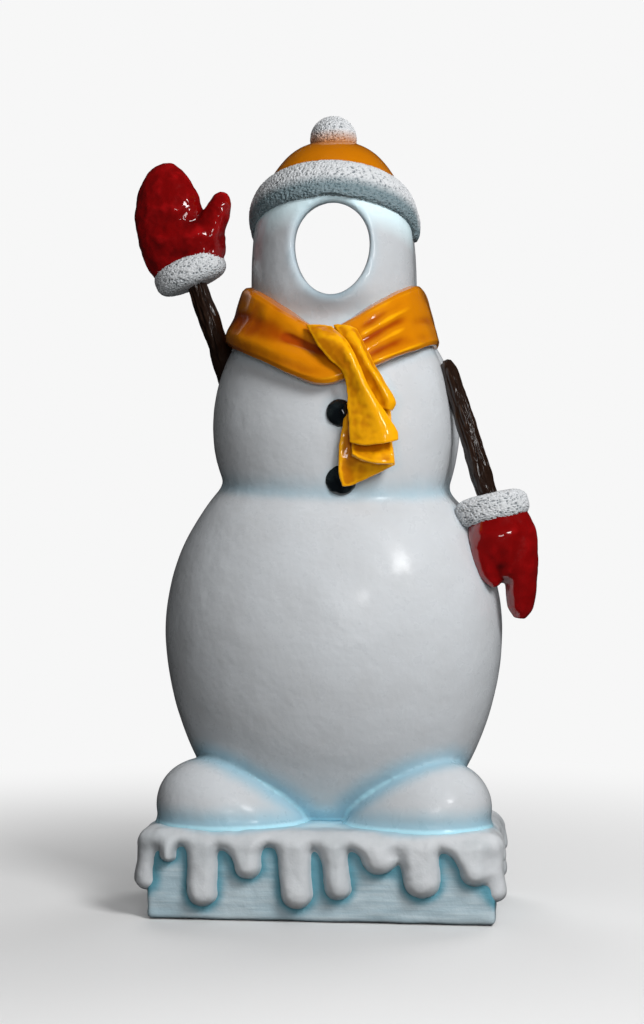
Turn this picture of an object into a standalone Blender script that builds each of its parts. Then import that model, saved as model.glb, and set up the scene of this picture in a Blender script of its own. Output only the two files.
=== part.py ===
"""A snowman statue with a face hole, standing on an ice block with a dripping snow cap.

The figure faces -Y, +Z is up and +X is on a viewer's right. The origin lies on the floor,
under the middle of the figure. Everything is in metres.
"""

import math

import bmesh
import bpy
from mathutils import Matrix, Vector

# Fits and shared sizes
GAP = 0.0007  # how far a cutter stands off the piece it was copied from
SNOW_TOP = 0.205  # height of the snow that the figure stands on
BACK = 0.13  # the flat back's distance behind the widest outline

# The body's back slab, as shares of the back's distance or of the width
LEDGE = 0.012  # how far it stands proud of the chest's front lobe
GROOVE_DEPTH = 0.985
GROOVE_PLACE = 0.15
SLAB_START = 0.40
SLAB_CORNER = 0.38
SLAB_CORNER_LIMIT = 0.9

# The three snowballs: heights of centre and reach, half width, front depth, and roundness.
# front_down is how far the front profile reaches below the centre, where that differs.
BELLY = dict(centre=0.635, up=0.445, down=0.540, width=0.397, depth=0.272,
             power_up=2.0, power_down=1.85, root=2.0, front_down=0.460)
CHEST = dict(centre=1.115, up=0.335, down=0.327, width=0.284, depth=0.208,
             power_up=2.0, power_down=2.0, root=2.0, front_down=0.327)
HEAD = dict(centre=1.450, up=0.339, down=0.190, width=0.193, depth=0.168,
            power_up=2.4, power_down=2.0, root=2.4, front_down=0.190)
WAIST = 0.972
NECK = 1.335
CROWN_TOP = HEAD["centre"] + HEAD["up"]
CREASE_FILLET = 0.030
WAIST_SAG = 0.018  # the waist crease hangs this much lower in front
WAIST_TILT = 0.030  # and falls towards +X by this slope
WAIST_REACH = 0.050

# Face hole and the pocket behind it
HOLE_X = 0.010
HOLE_Z = 1.532
HOLE_HALF_WIDTH = 0.086
HOLE_UP = 0.094
HOLE_DOWN = 0.119
HOLE_LIP = 0.016  # radius of the rolled front edge
POCKET_GROWTH = 0.042  # how much wider the pocket is than the hole, on each side
POCKET_RISE = 0.030  # and how much more at the top, clear of the view from below
POCKET_PROFILE = ((0.0, -0.105), (0.6, -0.085), (1.0, -0.055), (1.0, 0.260))  # share of growth, y

# Hat
HAT_SIDE_Z = 1.604  # height of the hat's edge at the sides and behind
HAT_BEND_Y = 0.030  # from here forwards the edge rises
HAT_SLOPE = 0.420
BRIM_HALF_HEIGHT = 0.043
BRIM_HALF_THICKNESS = 0.022
BRIM_SQUARENESS = 0.8  # below 1 the band's cross-section is fuller than an ellipse
POMPOM_RADIUS = 0.055
POMPOM_CENTRE = Vector((0.0, 0.010, 1.795))

# Base
BLOCK_LEFT = -0.398
BLOCK_RIGHT = 0.386
BLOCK_FRONT = -0.250
BLOCK_REAR = 0.150
BLOCK_HEIGHT = 0.170
SNOW_OVERHANG = 0.026
SNOW_RIGHT_OVERHANG = 0.013
SNOW_REAR_OVERHANG = 0.014
# The snow's edge, upwards: height, inset, and the right side's inset, which slopes more
SNOW_LAYERS = (
    (0.160, 0.008, 0.006),
    (0.170, 0.000, 0.000),
    (0.181, 0.001, 0.004),
    (0.193, 0.008, 0.014),
    (0.202, 0.020, 0.026),
    (SNOW_TOP, 0.034, 0.040),
)

BLOCK_CORNER = 0.018
BLOCK_EDGE = 0.005
SNOW_CORNER = 0.060
DRIP_PROFILE = ((0.0, 0.35), (0.30, 0.82), (0.85, 1.0))  # rise and reach, in radii
DRIP_ROOT = 0.180  # where a drip's top ends inside the snow
DRIP_ROOT_SHARE = 0.75  # its reach there, in radii
DRIP_DROP = 0.004  # how far a drip's centre line stands in front of the block's face

# Drips, front to back round the block: distance along each side, tip height and radius
FRONT_DRIPS = (
    (-0.337, 0.131, 0.020),
    (-0.272, 0.032, 0.031),
    (-0.177, 0.092, 0.029),
    (-0.060, 0.029, 0.032),
    (0.032, 0.050, 0.028),
    (0.120, 0.112, 0.037),
    (0.219, 0.057, 0.034),
    (0.335, 0.087, 0.030),
)
LEFT_DRIPS = (
    (-0.215, 0.075, 0.031),
    (-0.110, 0.115, 0.024),
    (-0.005, 0.045, 0.030),
    (0.095, 0.090, 0.027),
)
RIGHT_DRIPS = (
    (-0.205, 0.066, 0.027),
    (-0.100, 0.120, 0.020),
    (-0.005, 0.060, 0.022),
    (0.090, 0.105, 0.018),
)
REAR_DRIPS = (
    (-0.310, 0.070, 0.030),
    (-0.190, 0.112, 0.026),
    (-0.085, 0.042, 0.031),
    (0.035, 0.098, 0.028),
    (0.150, 0.055, 0.032),
    (0.290, 0.090, 0.029),
)

# Feet: centre, radii, and how far the inner end dips
LEFT_FOOT = dict(centre=(-0.222, -0.112, 0.216), radii=(0.182, 0.132, 0.116), dip=20)
RIGHT_FOOT = dict(centre=(0.204, -0.112, 0.216), radii=(0.176, 0.132, 0.116), dip=-20)

# Buttons: x, height and radius
UPPER_BUTTON = (0.036, 1.139, 0.031)
LOWER_BUTTON = (0.037, 0.990, 0.036)
BUTTON_RISE = 0.016

# Scarf round the neck, at the front middle, the sides and the back middle
SCARF_HIGH = dict(front=1.330, side=1.448, back=1.362)
SCARF_LOW = dict(front=1.200, side=1.302, back=1.272)
SCARF_V_ROUNDING = 0.14
SCARF_DIP_POWER = 1.6  # a higher power keeps the dip closer to the back's middle
SCARF_HALF_WIDTH = 0.222
SCARF_FRONT = 0.196
SCARF_REAR = 0.134
SCARF_HALF_THICKNESS = 0.030
SCARF_SQUARENESS = 0.6  # the band follows the square corners of the back
SCARF_LEAN = 0.030  # how much further out the lower edge stands than the upper
# The band's cross-section: height from -1 to 1, and reach outwards in half thicknesses
SCARF_PROFILE = (
    (-0.85, -2.2),
    (-1.00, 0.10),
    (-0.78, 0.90),
    (-0.35, 1.00),
    (0.02, 0.72),
    (0.30, 1.00),
    (0.75, 0.85),
    (1.00, 0.15),
    (0.85, -2.2),
)

# Scarf tails, row by row downwards: left edge x and z, right edge x and z, front y
FRONT_TAIL = (
    (0.000, 1.290, 0.050, 1.316, -0.255),
    (0.035, 1.233, 0.091, 1.242, -0.267),
    (0.052, 1.184, 0.115, 1.192, -0.263),
    (0.055, 1.133, 0.142, 1.137, -0.256),
    (0.055, 1.077, 0.167, 1.099, -0.254),
    (0.066, 1.050, 0.172, 1.081, -0.252),
)
BACK_TAIL = (
    (0.027, 1.290, 0.076, 1.325, -0.222),
    (0.043, 1.223, 0.130, 1.231, -0.228),
    (0.047, 1.167, 0.164, 1.166, -0.228),
    (0.040, 1.099, 0.155, 1.099, -0.228),
    (0.034, 1.057, 0.159, 1.054, -0.228),
    (0.036, 1.008, 0.161, 1.025, -0.228),
    (0.042, 0.972, 0.155, 1.019, -0.226),
)
BACK_TAIL_REAR = -0.150
FRONT_TAIL_REAR = -0.224
TAIL_FOLD = 0.007  # how far the folds rise and sink
TAIL_EDGE = 0.006  # how far the long edges curl back

# Arms: stations of a point and a radius. Mittens: point, half width and half depth.
RAISED_STICK = (
    ((-0.345, 0.030, 1.490), 0.026),
    ((-0.327, 0.030, 1.447), 0.025),
    ((-0.304, 0.030, 1.388), 0.026),
    ((-0.280, 0.030, 1.322), 0.026),
    ((-0.254, 0.030, 1.241), 0.028),
    ((-0.232, 0.030, 1.170), 0.028),
)
RAISED_PALM = (
    ((-0.352, 0.030, 1.495), 0.082, 0.038),
    ((-0.370, 0.028, 1.535), 0.090, 0.044),
    ((-0.392, 0.025, 1.590), 0.084, 0.047),
    ((-0.400, 0.022, 1.643), 0.081, 0.046),
    ((-0.403, 0.020, 1.686), 0.067, 0.041),
    ((-0.401, 0.020, 1.722), 0.048, 0.031),
    ((-0.396, 0.020, 1.750), 0.022, 0.014),
)
RAISED_THUMB = (
    ((-0.335, 0.025, 1.535), 0.049, 0.036),
    ((-0.305, 0.020, 1.580), 0.041, 0.034),
    ((-0.281, 0.015, 1.620), 0.033, 0.029),
    ((-0.269, 0.013, 1.650), 0.027, 0.025),
    ((-0.264, 0.012, 1.672), 0.018, 0.015),
)
RAISED_CUFF = dict(centre=(-0.346, 0.030, 1.487), tilt=-22, half_width=0.088)
LOWERED_STICK = (
    ((0.271, -0.028, 1.264), 0.011),
    ((0.274, -0.030, 1.248), 0.019),
    ((0.301, -0.038, 1.160), 0.020),
    ((0.331, -0.045, 1.065), 0.022),
    ((0.358, -0.052, 0.975), 0.023),
    ((0.372, -0.055, 0.930), 0.024),
)
LOWERED_PALM = (
    ((0.390, -0.062, 0.905), 0.067, 0.040),
    ((0.401, -0.066, 0.850), 0.082, 0.046),
    ((0.409, -0.068, 0.808), 0.075, 0.045),
    ((0.431, -0.070, 0.765), 0.046, 0.039),
    ((0.438, -0.070, 0.730), 0.035, 0.033),
    ((0.435, -0.070, 0.695), 0.030, 0.028),
    ((0.432, -0.070, 0.672), 0.017, 0.014),
)
LOWERED_THUMB = (
    ((0.362, -0.082, 0.850), 0.040, 0.034),
    ((0.364, -0.090, 0.800), 0.033, 0.031),
    ((0.376, -0.092, 0.768), 0.027, 0.025),
    ((0.381, -0.092, 0.746), 0.016, 0.014),
)
LOWERED_CUFF = dict(centre=(0.375, -0.056, 0.924), tilt=-13, half_width=0.085)
CUFF_HALF_HEIGHT = 0.034
CUFF_FLATNESS = 0.72  # a cuff's depth over its width
CUFF_PROFILE = ((-1.0, 0.80), (-0.72, 0.95), (0.0, 1.0), (0.72, 0.95), (1.0, 0.80))  # height, reach

FAR = 0.6  # beyond everything

# How finely each shape is divided
FRONT_STEPS = 7
SLAB_CORNER_STEPS = 2
BELLY_LEVELS = 10
CHEST_LEVELS = 8
HEAD_LEVELS = 12
HOLE_STEPS = 24
LIP_STEPS = 3
HAT_LINE_PASSES = 8
BRIM_STEPS = 27
BRIM_SIDES = 8
DRIP_SIDES = 7
SCARF_STEPS = 30
TAIL_STEPS = 8
CUFF_SIDES = 18
PALM_SIDES = 14
THUMB_SIDES = 12
STICK_SIDES = 10
SHARP_ANGLE = 35  # degrees between faces from which an edge is drawn sharp


def clear_scene():
    for obj in list(bpy.data.objects):
        bpy.data.objects.remove(obj)


def paint(name, colour, roughness, coat=0.0):
    """A Principled material. Metallic stays 0: every surface is paint."""
    material = bpy.data.materials.new(name)
    material.use_nodes = True
    shader = material.node_tree.nodes["Principled BSDF"]
    shader.inputs["Base Color"].default_value = (*colour, 1.0)
    shader.inputs["Roughness"].default_value = roughness
    shader.inputs["Coat Weight"].default_value = coat
    return material


# Mesh building


def mesh_object(name, bm, material=None):
    """An object of triangles, so that a grown copy has the same facets as the piece itself."""
    bmesh.ops.recalc_face_normals(bm, faces=bm.faces)
    bmesh.ops.triangulate(bm, faces=bm.faces)
    mesh = bpy.data.meshes.new(name)
    bm.to_mesh(mesh)
    bm.free()
    obj = bpy.data.objects.new(name, mesh)
    bpy.context.scene.collection.objects.link(obj)
    if material:
        mesh.materials.append(material)
    return obj


def loft(name, rings, material=None, closed=False, pole=None):
    """Bridges rings of points, each with the same count, into one closed skin.

    The ends are capped, unless closed joins the last ring to the first. A pole is a point
    that the last ring closes on.
    """
    bm = bmesh.new()
    loops = [[bm.verts.new(point) for point in ring] for ring in rings]
    pairs = list(zip(loops, loops[1:])) + ([(loops[-1], loops[0])] if closed else [])
    for lower, upper in pairs:
        for i in range(len(lower)):
            j = (i + 1) % len(lower)
            bm.faces.new((lower[i], lower[j], upper[j], upper[i]))
    if not closed:
        bm.faces.new(list(reversed(loops[0])))
        if pole is None:
            bm.faces.new(loops[-1])
        else:
            tip = bm.verts.new(pole)
            last = loops[-1]
            for i in range(len(last)):
                bm.faces.new((last[i], last[(i + 1) % len(last)], tip))
    return mesh_object(name, bm, material)


def ellipsoid(name, centre, radii, material=None, segments=18, rings=10, turn=None):
    bm = bmesh.new()
    bmesh.ops.create_uvsphere(bm, u_segments=segments, v_segments=rings, radius=1.0)
    frame = Matrix.Translation(centre) @ (turn or Matrix()) @ Matrix.Diagonal((*radii, 1.0))
    bmesh.ops.transform(bm, matrix=frame, verts=bm.verts)
    return mesh_object(name, bm, material)


def box(name, low, high):
    low, high = Vector(low), Vector(high)
    bm = bmesh.new()
    bmesh.ops.create_cube(bm, size=1.0)
    frame = Matrix.Translation((low + high) / 2) @ Matrix.Diagonal((*(high - low), 1.0))
    bmesh.ops.transform(bm, matrix=frame, verts=bm.verts)
    return mesh_object(name, bm)


def circle(count):
    turns = [2 * math.pi * k / count for k in range(count)]
    return [(math.cos(turn), math.sin(turn)) for turn in turns]


def limb(name, stations, material, sides):
    """An oval limb through stations of (point, half width, half depth); depth runs along Y."""
    rings = []
    last = len(stations) - 1
    for i, (point, width, depth) in enumerate(stations):
        ahead = Vector(stations[min(i + 1, last)][0]) - Vector(stations[max(i - 1, 0)][0])
        sideways = Vector((ahead.z, 0.0, -ahead.x)).normalized()
        forwards = sideways.cross(ahead).normalized()
        rings.append(
            [Vector(point) + sideways * width * c + forwards * depth * s for c, s in circle(sides)]
        )
    return loft(name, rings, material)


def rounded_plate(name, layers, material=None, corner_steps=4):
    """Rounded rectangles stacked upwards. A layer is height, low corner, high corner and radius."""
    rings = []
    for z, low, high, radius in layers:
        middles = (
            (high[0] - radius, high[1] - radius),
            (low[0] + radius, high[1] - radius),
            (low[0] + radius, low[1] + radius),
            (high[0] - radius, low[1] + radius),
        )
        ring = []
        for quadrant, (x, y) in enumerate(middles):
            for i in range(corner_steps + 1):
                turn = math.pi / 2 * (quadrant + i / corner_steps)
                ring.append(Vector((x + radius * math.cos(turn), y + radius * math.sin(turn), z)))
        rings.append(ring)
    return loft(name, rings, material)


# Joining and cutting


def settle(obj):
    """Applies an object's modifiers, so that copies of it carry the finished shape."""
    graph = bpy.context.evaluated_depsgraph_get()
    mesh = bpy.data.meshes.new_from_object(obj.evaluated_get(graph))
    obj.modifiers.clear()
    obj.data = mesh
    return obj


def keep_main_body(obj):
    """Removes the slivers that a cut can leave beside the main body."""
    bm = bmesh.new()
    bm.from_mesh(obj.data)
    waiting = set(bm.verts)
    bodies = []
    while waiting:
        reached = [waiting.pop()]
        for vert in reached:
            linked = {edge.other_vert(vert) for edge in vert.link_edges} & waiting
            waiting -= linked
            reached.extend(linked)
        bodies.append(reached)
    bodies.sort(key=len)
    for sliver in bodies[:-1]:
        bmesh.ops.delete(bm, geom=sliver, context="VERTS")
    bm.to_mesh(obj.data)
    bm.free()


def combine(obj, others, operation):
    for other in others:
        modifier = obj.modifiers.new(operation.title(), "BOOLEAN")
        modifier.solver = "EXACT"
        modifier.operation = operation
        modifier.object = other
        other.hide_render = True
        other.display_type = "WIRE"
    bpy.context.view_layer.update()
    settle(obj)
    for other in others:
        bpy.data.objects.remove(other)
    keep_main_body(obj)
    return obj


def cut(obj, *cutters):
    return combine(obj, cutters, "DIFFERENCE")


def unite(obj, *others):
    return combine(obj, others, "UNION")


def clearance(*pieces):
    """Copies of finished pieces, grown along their normals, to cut their neighbours with."""
    cutters = []
    for piece in pieces:
        copy = bpy.data.objects.new(piece.name + "_clearance", piece.data.copy())
        bpy.context.scene.collection.objects.link(copy)
        grow = copy.modifiers.new("Grow", "DISPLACE")
        grow.mid_level = 0.0
        grow.strength = GAP
        bpy.context.view_layer.update()
        cutters.append(settle(copy))
    return cutters


def smooth_shading(obj):
    obj.data.shade_smooth()
    obj.data.set_sharp_from_angle(angle=math.radians(SHARP_ANGLE))


# The body's outline


def smooth_max(values, reach):
    """The largest value, with a fillet where the two largest are within reach."""
    first, second = sorted(values, reverse=True)[:2]
    near = max(reach - (first - second), 0.0) / reach
    return first + near * near * reach / 4


def swell(ball, z, down):
    """1 at a ball's widest height, falling to 0 at its top and bottom."""
    above = z >= ball["centre"]
    reach = ball["up"] if above else ball[down]
    power = ball["power_up"] if above else ball["power_down"]
    t = min(abs(z - ball["centre"]) / reach, 1.0)
    return (1 - t**power) ** (1 / ball["root"])


def half_width(z):
    widths = [ball["width"] * swell(ball, z, "down") for ball in (BELLY, CHEST, HEAD)]
    return smooth_max(widths, CREASE_FILLET)


def front_depth(z):
    depths = [ball["depth"] * swell(ball, z, "front_down") for ball in (BELLY, CHEST, HEAD)]
    return smooth_max(depths, CREASE_FILLET)


def back_depth(z):
    """The back is flat and rounds over only near the crown's top."""
    t = max(z - HEAD["centre"], 0.0) / HEAD["up"]
    return BACK * math.sqrt(1 - min(t, 1.0) ** 4)


def front_y(x, z):
    """The y of the body's front surface at a place seen from the front."""
    share = min(abs(x) / half_width(z), 0.999)
    return -front_depth(z) * math.sqrt(1 - share * share)


def waist_shift(x, y, z):
    """How much a point near the waist moves down or up, as the crease sags and tilts."""
    near = math.exp(-(((z - WAIST) / WAIST_REACH) ** 2))
    frontness = max(-y / front_depth(z), 0.0)
    return -near * (WAIST_SAG * frontness + WAIST_TILT * x)


def section(z):
    """One horizontal outline of the body: a front lobe, a shallow groove, then the back slab."""
    wide, front, back = half_width(z), front_depth(z), back_depth(z)
    slab = wide + LEDGE * swell(CHEST, z, "down") ** 2
    corner = min(SLAB_CORNER * back, SLAB_CORNER_LIMIT * slab)
    side = []
    for i in range(FRONT_STEPS + 1):
        turn = math.pi / 2 * i / FRONT_STEPS
        side.append((wide * math.sin(turn), -front * math.cos(turn)))
    side.append((GROOVE_DEPTH * wide, GROOVE_PLACE * back))
    side.append((slab, SLAB_START * back))
    for i in range(SLAB_CORNER_STEPS + 1):
        turn = math.pi / 2 * i / SLAB_CORNER_STEPS
        side.append((slab - corner + corner * math.cos(turn), back - corner + corner * math.sin(turn)))
    side.append(((slab - corner) / 2, back))
    outline = side + [(0.0, back)] + [(-x, y) for x, y in reversed(side[1:])]
    return [Vector((x, y, z + waist_shift(x, y, z))) for x, y in outline]


def figure_levels():
    """Heights of the body's sections, closer together at the creases and the crown."""
    foot = SNOW_TOP + GAP
    belly = [(1 - math.cos(math.pi * i / BELLY_LEVELS)) / 2 for i in range(BELLY_LEVELS)]
    chest = [(1 - math.cos(math.pi * i / CHEST_LEVELS)) / 2 for i in range(CHEST_LEVELS)]
    head = [math.sin(math.pi / 2 * i / HEAD_LEVELS) for i in range(HEAD_LEVELS)]
    levels = [foot + (WAIST - foot) * share for share in belly]
    levels += [WAIST + (NECK - WAIST) * share for share in chest]
    levels += [NECK + (CROWN_TOP - NECK) * share for share in head]
    return levels


def figure(name, material):
    return loft(name, [section(z) for z in figure_levels()], material, pole=(0, 0, CROWN_TOP))


def hat_edge_height(y):
    return HAT_SIDE_Z + HAT_SLOPE * max(HAT_BEND_Y - y, 0.0)


def above_hat_edge(name, lift=0.0):
    """Everything over the line where the hat begins."""
    outline = [(y, hat_edge_height(y) + lift) for y in (-FAR, HAT_BEND_Y, FAR)]
    outline += [(FAR, CROWN_TOP + FAR), (-FAR, CROWN_TOP + FAR)]
    return loft(name, [[Vector((x, y, z)) for y, z in outline] for x in (-FAR, FAR)])


def hole_ring(growth, y_of, rise=0.0):
    """One oval ring of the face hole. A rise lifts its upper half only."""
    ring = []
    for k in range(HOLE_STEPS):
        a = 2 * math.pi * k / HOLE_STEPS
        tall = (HOLE_UP + rise if math.sin(a) > 0 else HOLE_DOWN) + growth
        x = HOLE_X + (HOLE_HALF_WIDTH + growth) * math.cos(a)
        z = HOLE_Z + tall * math.sin(a)
        edge_x = HOLE_X + HOLE_HALF_WIDTH * math.cos(a)
        ring.append(Vector((x, y_of(edge_x, z), z)))
    return ring


def face_cutter():
    """The hole with a rolled front edge, and the wider pocket behind that takes a visitor's face."""
    rings = [hole_ring(HOLE_LIP * 1.2, lambda x, z: front_y(x, HOLE_Z) - 4 * HOLE_LIP)]
    for i in range(LIP_STEPS + 1):
        turn = math.pi / 2 * i / LIP_STEPS
        growth = HOLE_LIP * (1 - math.sin(turn))
        inward = HOLE_LIP * (1 - math.cos(turn))
        rings.append(hole_ring(growth, lambda x, z: front_y(x, z) + inward))
    for share, y in POCKET_PROFILE:
        rings.append(hole_ring(POCKET_GROWTH * share, lambda x, z: y, POCKET_RISE * share))
    return loft("face_cutter", rings)


# The pieces


def make_body(material):
    body = figure("body", material)
    return cut(body, above_hat_edge("hat_line"), face_cutter())


def make_hat_crown(material):
    crown = figure("hat_crown", material)
    above = above_hat_edge("hat_line", GAP)
    return cut(combine(crown, [above], "INTERSECT"), face_cutter())


def hat_line(share):
    """A point of the hat's edge, share of the way round from the front, and its outward direction."""
    z = HAT_SIDE_Z
    for _ in range(HAT_LINE_PASSES):
        ring = section(z)
        place = share * len(ring)
        i = int(place) % len(ring)
        point = ring[i].lerp(ring[(i + 1) % len(ring)], place - int(place))
        z = hat_edge_height(point.y)
    along = ring[(i + 1) % len(ring)] - ring[i - 1]
    outward = Vector((along.y, -along.x, 0.0)).normalized()
    return Vector((point.x, point.y, z)), outward


def make_brim(material, crown, body):
    """The fur band round the hat's edge. It stops at the pocket, where a visitor's head goes."""
    rings = []
    for k in range(BRIM_STEPS):
        point, outward = hat_line(k / BRIM_STEPS)
        lean = half_width(point.z + BRIM_HALF_HEIGHT) - half_width(point.z - BRIM_HALF_HEIGHT)
        up = (Vector((0, 0, 1)) + outward * lean / (2 * BRIM_HALF_HEIGHT)).normalized()
        ring = []
        for c, s in circle(BRIM_SIDES):
            out = BRIM_HALF_THICKNESS * math.copysign(abs(c) ** BRIM_SQUARENESS, c)
            ring.append(point + outward * out + up * BRIM_HALF_HEIGHT * s)
        rings.append(ring)
    brim = loft("hat_brim", rings, material, closed=True)
    return cut(brim, *clearance(crown, body), face_cutter())


def make_pompom(material, crown):
    ball = ellipsoid("hat_pompom", POMPOM_CENTRE, (POMPOM_RADIUS,) * 3, material)
    return cut(ball, *clearance(crown))


def make_block(material):
    layers = []
    edge = BLOCK_EDGE
    for z, inset in ((0.0, edge), (edge, 0.0), (BLOCK_HEIGHT - edge, 0.0), (BLOCK_HEIGHT, edge)):
        low = (BLOCK_LEFT + inset, BLOCK_FRONT + inset)
        high = (BLOCK_RIGHT - inset, BLOCK_REAR - inset)
        layers.append((z, low, high, BLOCK_CORNER))
    return rounded_plate("ice_block", layers, material)


def drip(x, y, tip, radius):
    """One icicle: a rounded tip, a slight bulb above it and a straight neck up into the snow."""
    levels = [(tip + radius * rise, radius * share) for rise, share in DRIP_PROFILE]
    levels.append((DRIP_ROOT, radius * DRIP_ROOT_SHARE))
    rings = []
    for z, reach in levels:
        rings.append([Vector((x + reach * c, y + reach * s, z)) for c, s in circle(DRIP_SIDES)])
    return loft("drip", rings)


def make_snow(material, block):
    """The snow layer with its icicles, hollowed to sit over the ice block."""
    layers = []
    for z, inset, right_inset in SNOW_LAYERS:
        low = (BLOCK_LEFT - SNOW_OVERHANG + inset, BLOCK_FRONT - SNOW_OVERHANG + inset)
        right = BLOCK_RIGHT + SNOW_RIGHT_OVERHANG - right_inset
        rear = BLOCK_REAR + SNOW_REAR_OVERHANG - inset
        layers.append((z, low, (right, rear), SNOW_CORNER - inset))
    snow = rounded_plate("snow_cap", layers, material)
    drips = [drip(x, BLOCK_FRONT - DRIP_DROP, tip, r) for x, tip, r in FRONT_DRIPS]
    drips += [drip(x, BLOCK_REAR - DRIP_DROP, tip, r) for x, tip, r in REAR_DRIPS]
    drips += [drip(BLOCK_LEFT - DRIP_DROP, y, tip, r) for y, tip, r in LEFT_DRIPS]
    drips += [drip(BLOCK_RIGHT + DRIP_DROP, y, tip, r) for y, tip, r in RIGHT_DRIPS]
    return cut(unite(snow, *drips), *clearance(block))


def make_foot(name, shape, material, body):
    """A snow lump leaning against the belly, flat where it rests on the snow."""
    turn = Matrix.Rotation(math.radians(shape["dip"]), 4, "Y")
    foot = ellipsoid(name, Vector(shape["centre"]), shape["radii"], material, turn=turn)
    ground = box("ground", (-FAR, -FAR, 0.0), (FAR, FAR, SNOW_TOP + GAP))
    return cut(foot, ground, *clearance(body))


def make_button(name, place, material, body):
    x, z, radius = place
    centre = Vector((x, front_y(x, z), z))
    button = ellipsoid(name, centre, (radius, BUTTON_RISE, radius), material)
    return cut(button, *clearance(body))


def scarf_edge(heights, turn):
    """An edge's height round the neck: it hangs in a V in front and dips evenly behind."""
    if math.cos(turn) > 0:
        sideness = math.hypot(math.sin(turn), SCARF_V_ROUNDING) - SCARF_V_ROUNDING
        return heights["side"] + (heights["front"] - heights["side"]) * max(1 - sideness, 0.0)
    backness = abs(math.cos(turn)) ** SCARF_DIP_POWER
    return heights["side"] + (heights["back"] - heights["side"]) * backness


def make_scarf(material, body):
    """The band round the neck, with one lengthwise fold, hanging lower in front."""
    rings = []
    for k in range(SCARF_STEPS):
        turn = 2 * math.pi * k / SCARF_STEPS
        across, along = math.sin(turn), math.cos(turn)
        depth = SCARF_FRONT if along > 0 else SCARF_REAR
        squareness = 1.0 if along > 0 else SCARF_SQUARENESS
        base_x = SCARF_HALF_WIDTH * math.copysign(abs(across) ** squareness, across)
        base_y = -depth * math.copysign(abs(along) ** squareness, along)
        high, low = scarf_edge(SCARF_HIGH, turn), scarf_edge(SCARF_LOW, turn)
        ring = []
        for up, out in SCARF_PROFILE:
            z = (high + low) / 2 + up * (high - low) / 2
            reach = SCARF_HALF_THICKNESS * out - SCARF_LEAN * up / 2
            ring.append(Vector((base_x + across * reach, base_y - along * reach, z)))
        rings.append(ring)
    scarf = loft("scarf_wrap", rings, material, closed=True)
    return cut(scarf, *clearance(body))


def make_tail(name, rows, rear, material, neighbours):
    """A hanging end of the scarf with lengthwise folds, cut to lie on what is behind it."""
    rings = []
    for left_x, left_z, right_x, right_z, y in rows:
        ring = []
        for i in range(TAIL_STEPS + 1):
            share = i / TAIL_STEPS
            edge = TAIL_EDGE * abs(2 * share - 1) ** 4
            fold = edge - TAIL_FOLD * math.cos(3 * math.pi * share)
            x = left_x + (right_x - left_x) * share
            z = left_z + (right_z - left_z) * share
            ring.append(Vector((x, y + fold, z)))
        ring.append(Vector((right_x, rear, right_z)))
        ring.append(Vector((left_x, rear, left_z)))
        rings.append(ring)
    tail = loft(name, rings, material)
    return cut(tail, *clearance(*neighbours))


def make_cuff(name, shape, material, body):
    half = shape["half_width"]
    place = Matrix.Translation(shape["centre"]) @ Matrix.Rotation(math.radians(shape["tilt"]), 4, "Y")
    rings = []
    for height, share in CUFF_PROFILE:
        z = height * CUFF_HALF_HEIGHT
        reach = half * share
        ring = [Vector((reach * c, reach * CUFF_FLATNESS * s, z)) for c, s in circle(CUFF_SIDES)]
        rings.append([place @ point for point in ring])
    return cut(loft(name, rings, material), *clearance(body))


def make_mitten(name, palm, thumb, material, cuff, body):
    mitten = limb(name, palm, material, PALM_SIDES)
    unite(mitten, limb("thumb", thumb, None, THUMB_SIDES))
    return cut(mitten, *clearance(cuff, body))


def make_arm(name, stations, material, neighbours):
    round_stations = [(point, radius, radius) for point, radius in stations]
    return cut(limb(name, round_stations, material, STICK_SIDES), *clearance(*neighbours))


def main():
    clear_scene()
    snow_white = paint("painted snow", (0.70, 0.73, 0.76), 0.35, 0.4)
    ice_blue = paint("painted ice", (0.45, 0.66, 0.74), 0.30, 0.4)
    fleece = paint("textured fleece", (0.74, 0.75, 0.76), 0.85)
    yellow = paint("scarf yellow", (0.83, 0.40, 0.02), 0.22, 0.6)
    orange = paint("hat orange", (0.80, 0.31, 0.02), 0.25, 0.6)
    red = paint("mitten red", (0.36, 0.005, 0.008), 0.15, 0.8)
    bark = paint("bark brown", (0.028, 0.014, 0.010), 0.30, 0.4)
    black = paint("button black", (0.008, 0.012, 0.016), 0.12, 0.6)

    block = make_block(ice_blue)
    make_snow(snow_white, block)
    body = make_body(snow_white)
    crown = make_hat_crown(orange)
    make_brim(fleece, crown, body)
    make_pompom(fleece, crown)
    make_foot("foot_left", LEFT_FOOT, snow_white, body)
    make_foot("foot_right", RIGHT_FOOT, snow_white, body)
    buttons = [
        make_button("button_upper", UPPER_BUTTON, black, body),
        make_button("button_lower", LOWER_BUTTON, black, body),
    ]
    wrap = make_scarf(yellow, body)
    back_tail = make_tail("scarf_tail_back", BACK_TAIL, BACK_TAIL_REAR, yellow, [wrap, body] + buttons)
    make_tail("scarf_tail_front", FRONT_TAIL, FRONT_TAIL_REAR, yellow, [back_tail, wrap])
    raised_cuff = make_cuff("cuff_raised", RAISED_CUFF, fleece, body)
    lowered_cuff = make_cuff("cuff_lowered", LOWERED_CUFF, fleece, body)
    make_mitten("mitten_raised", RAISED_PALM, RAISED_THUMB, red, raised_cuff, body)
    make_mitten("mitten_lowered", LOWERED_PALM, LOWERED_THUMB, red, lowered_cuff, body)
    make_arm("arm_raised", RAISED_STICK, bark, [raised_cuff, body, wrap])
    make_arm("arm_lowered", LOWERED_STICK, bark, [lowered_cuff, body, wrap])

    for piece in bpy.data.objects:
        smooth_shading(piece)


main()
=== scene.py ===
import math

import bpy
import numpy as np
from mathutils import Matrix, Vector, noise
from mathutils.bvhtree import BVHTree


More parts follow.
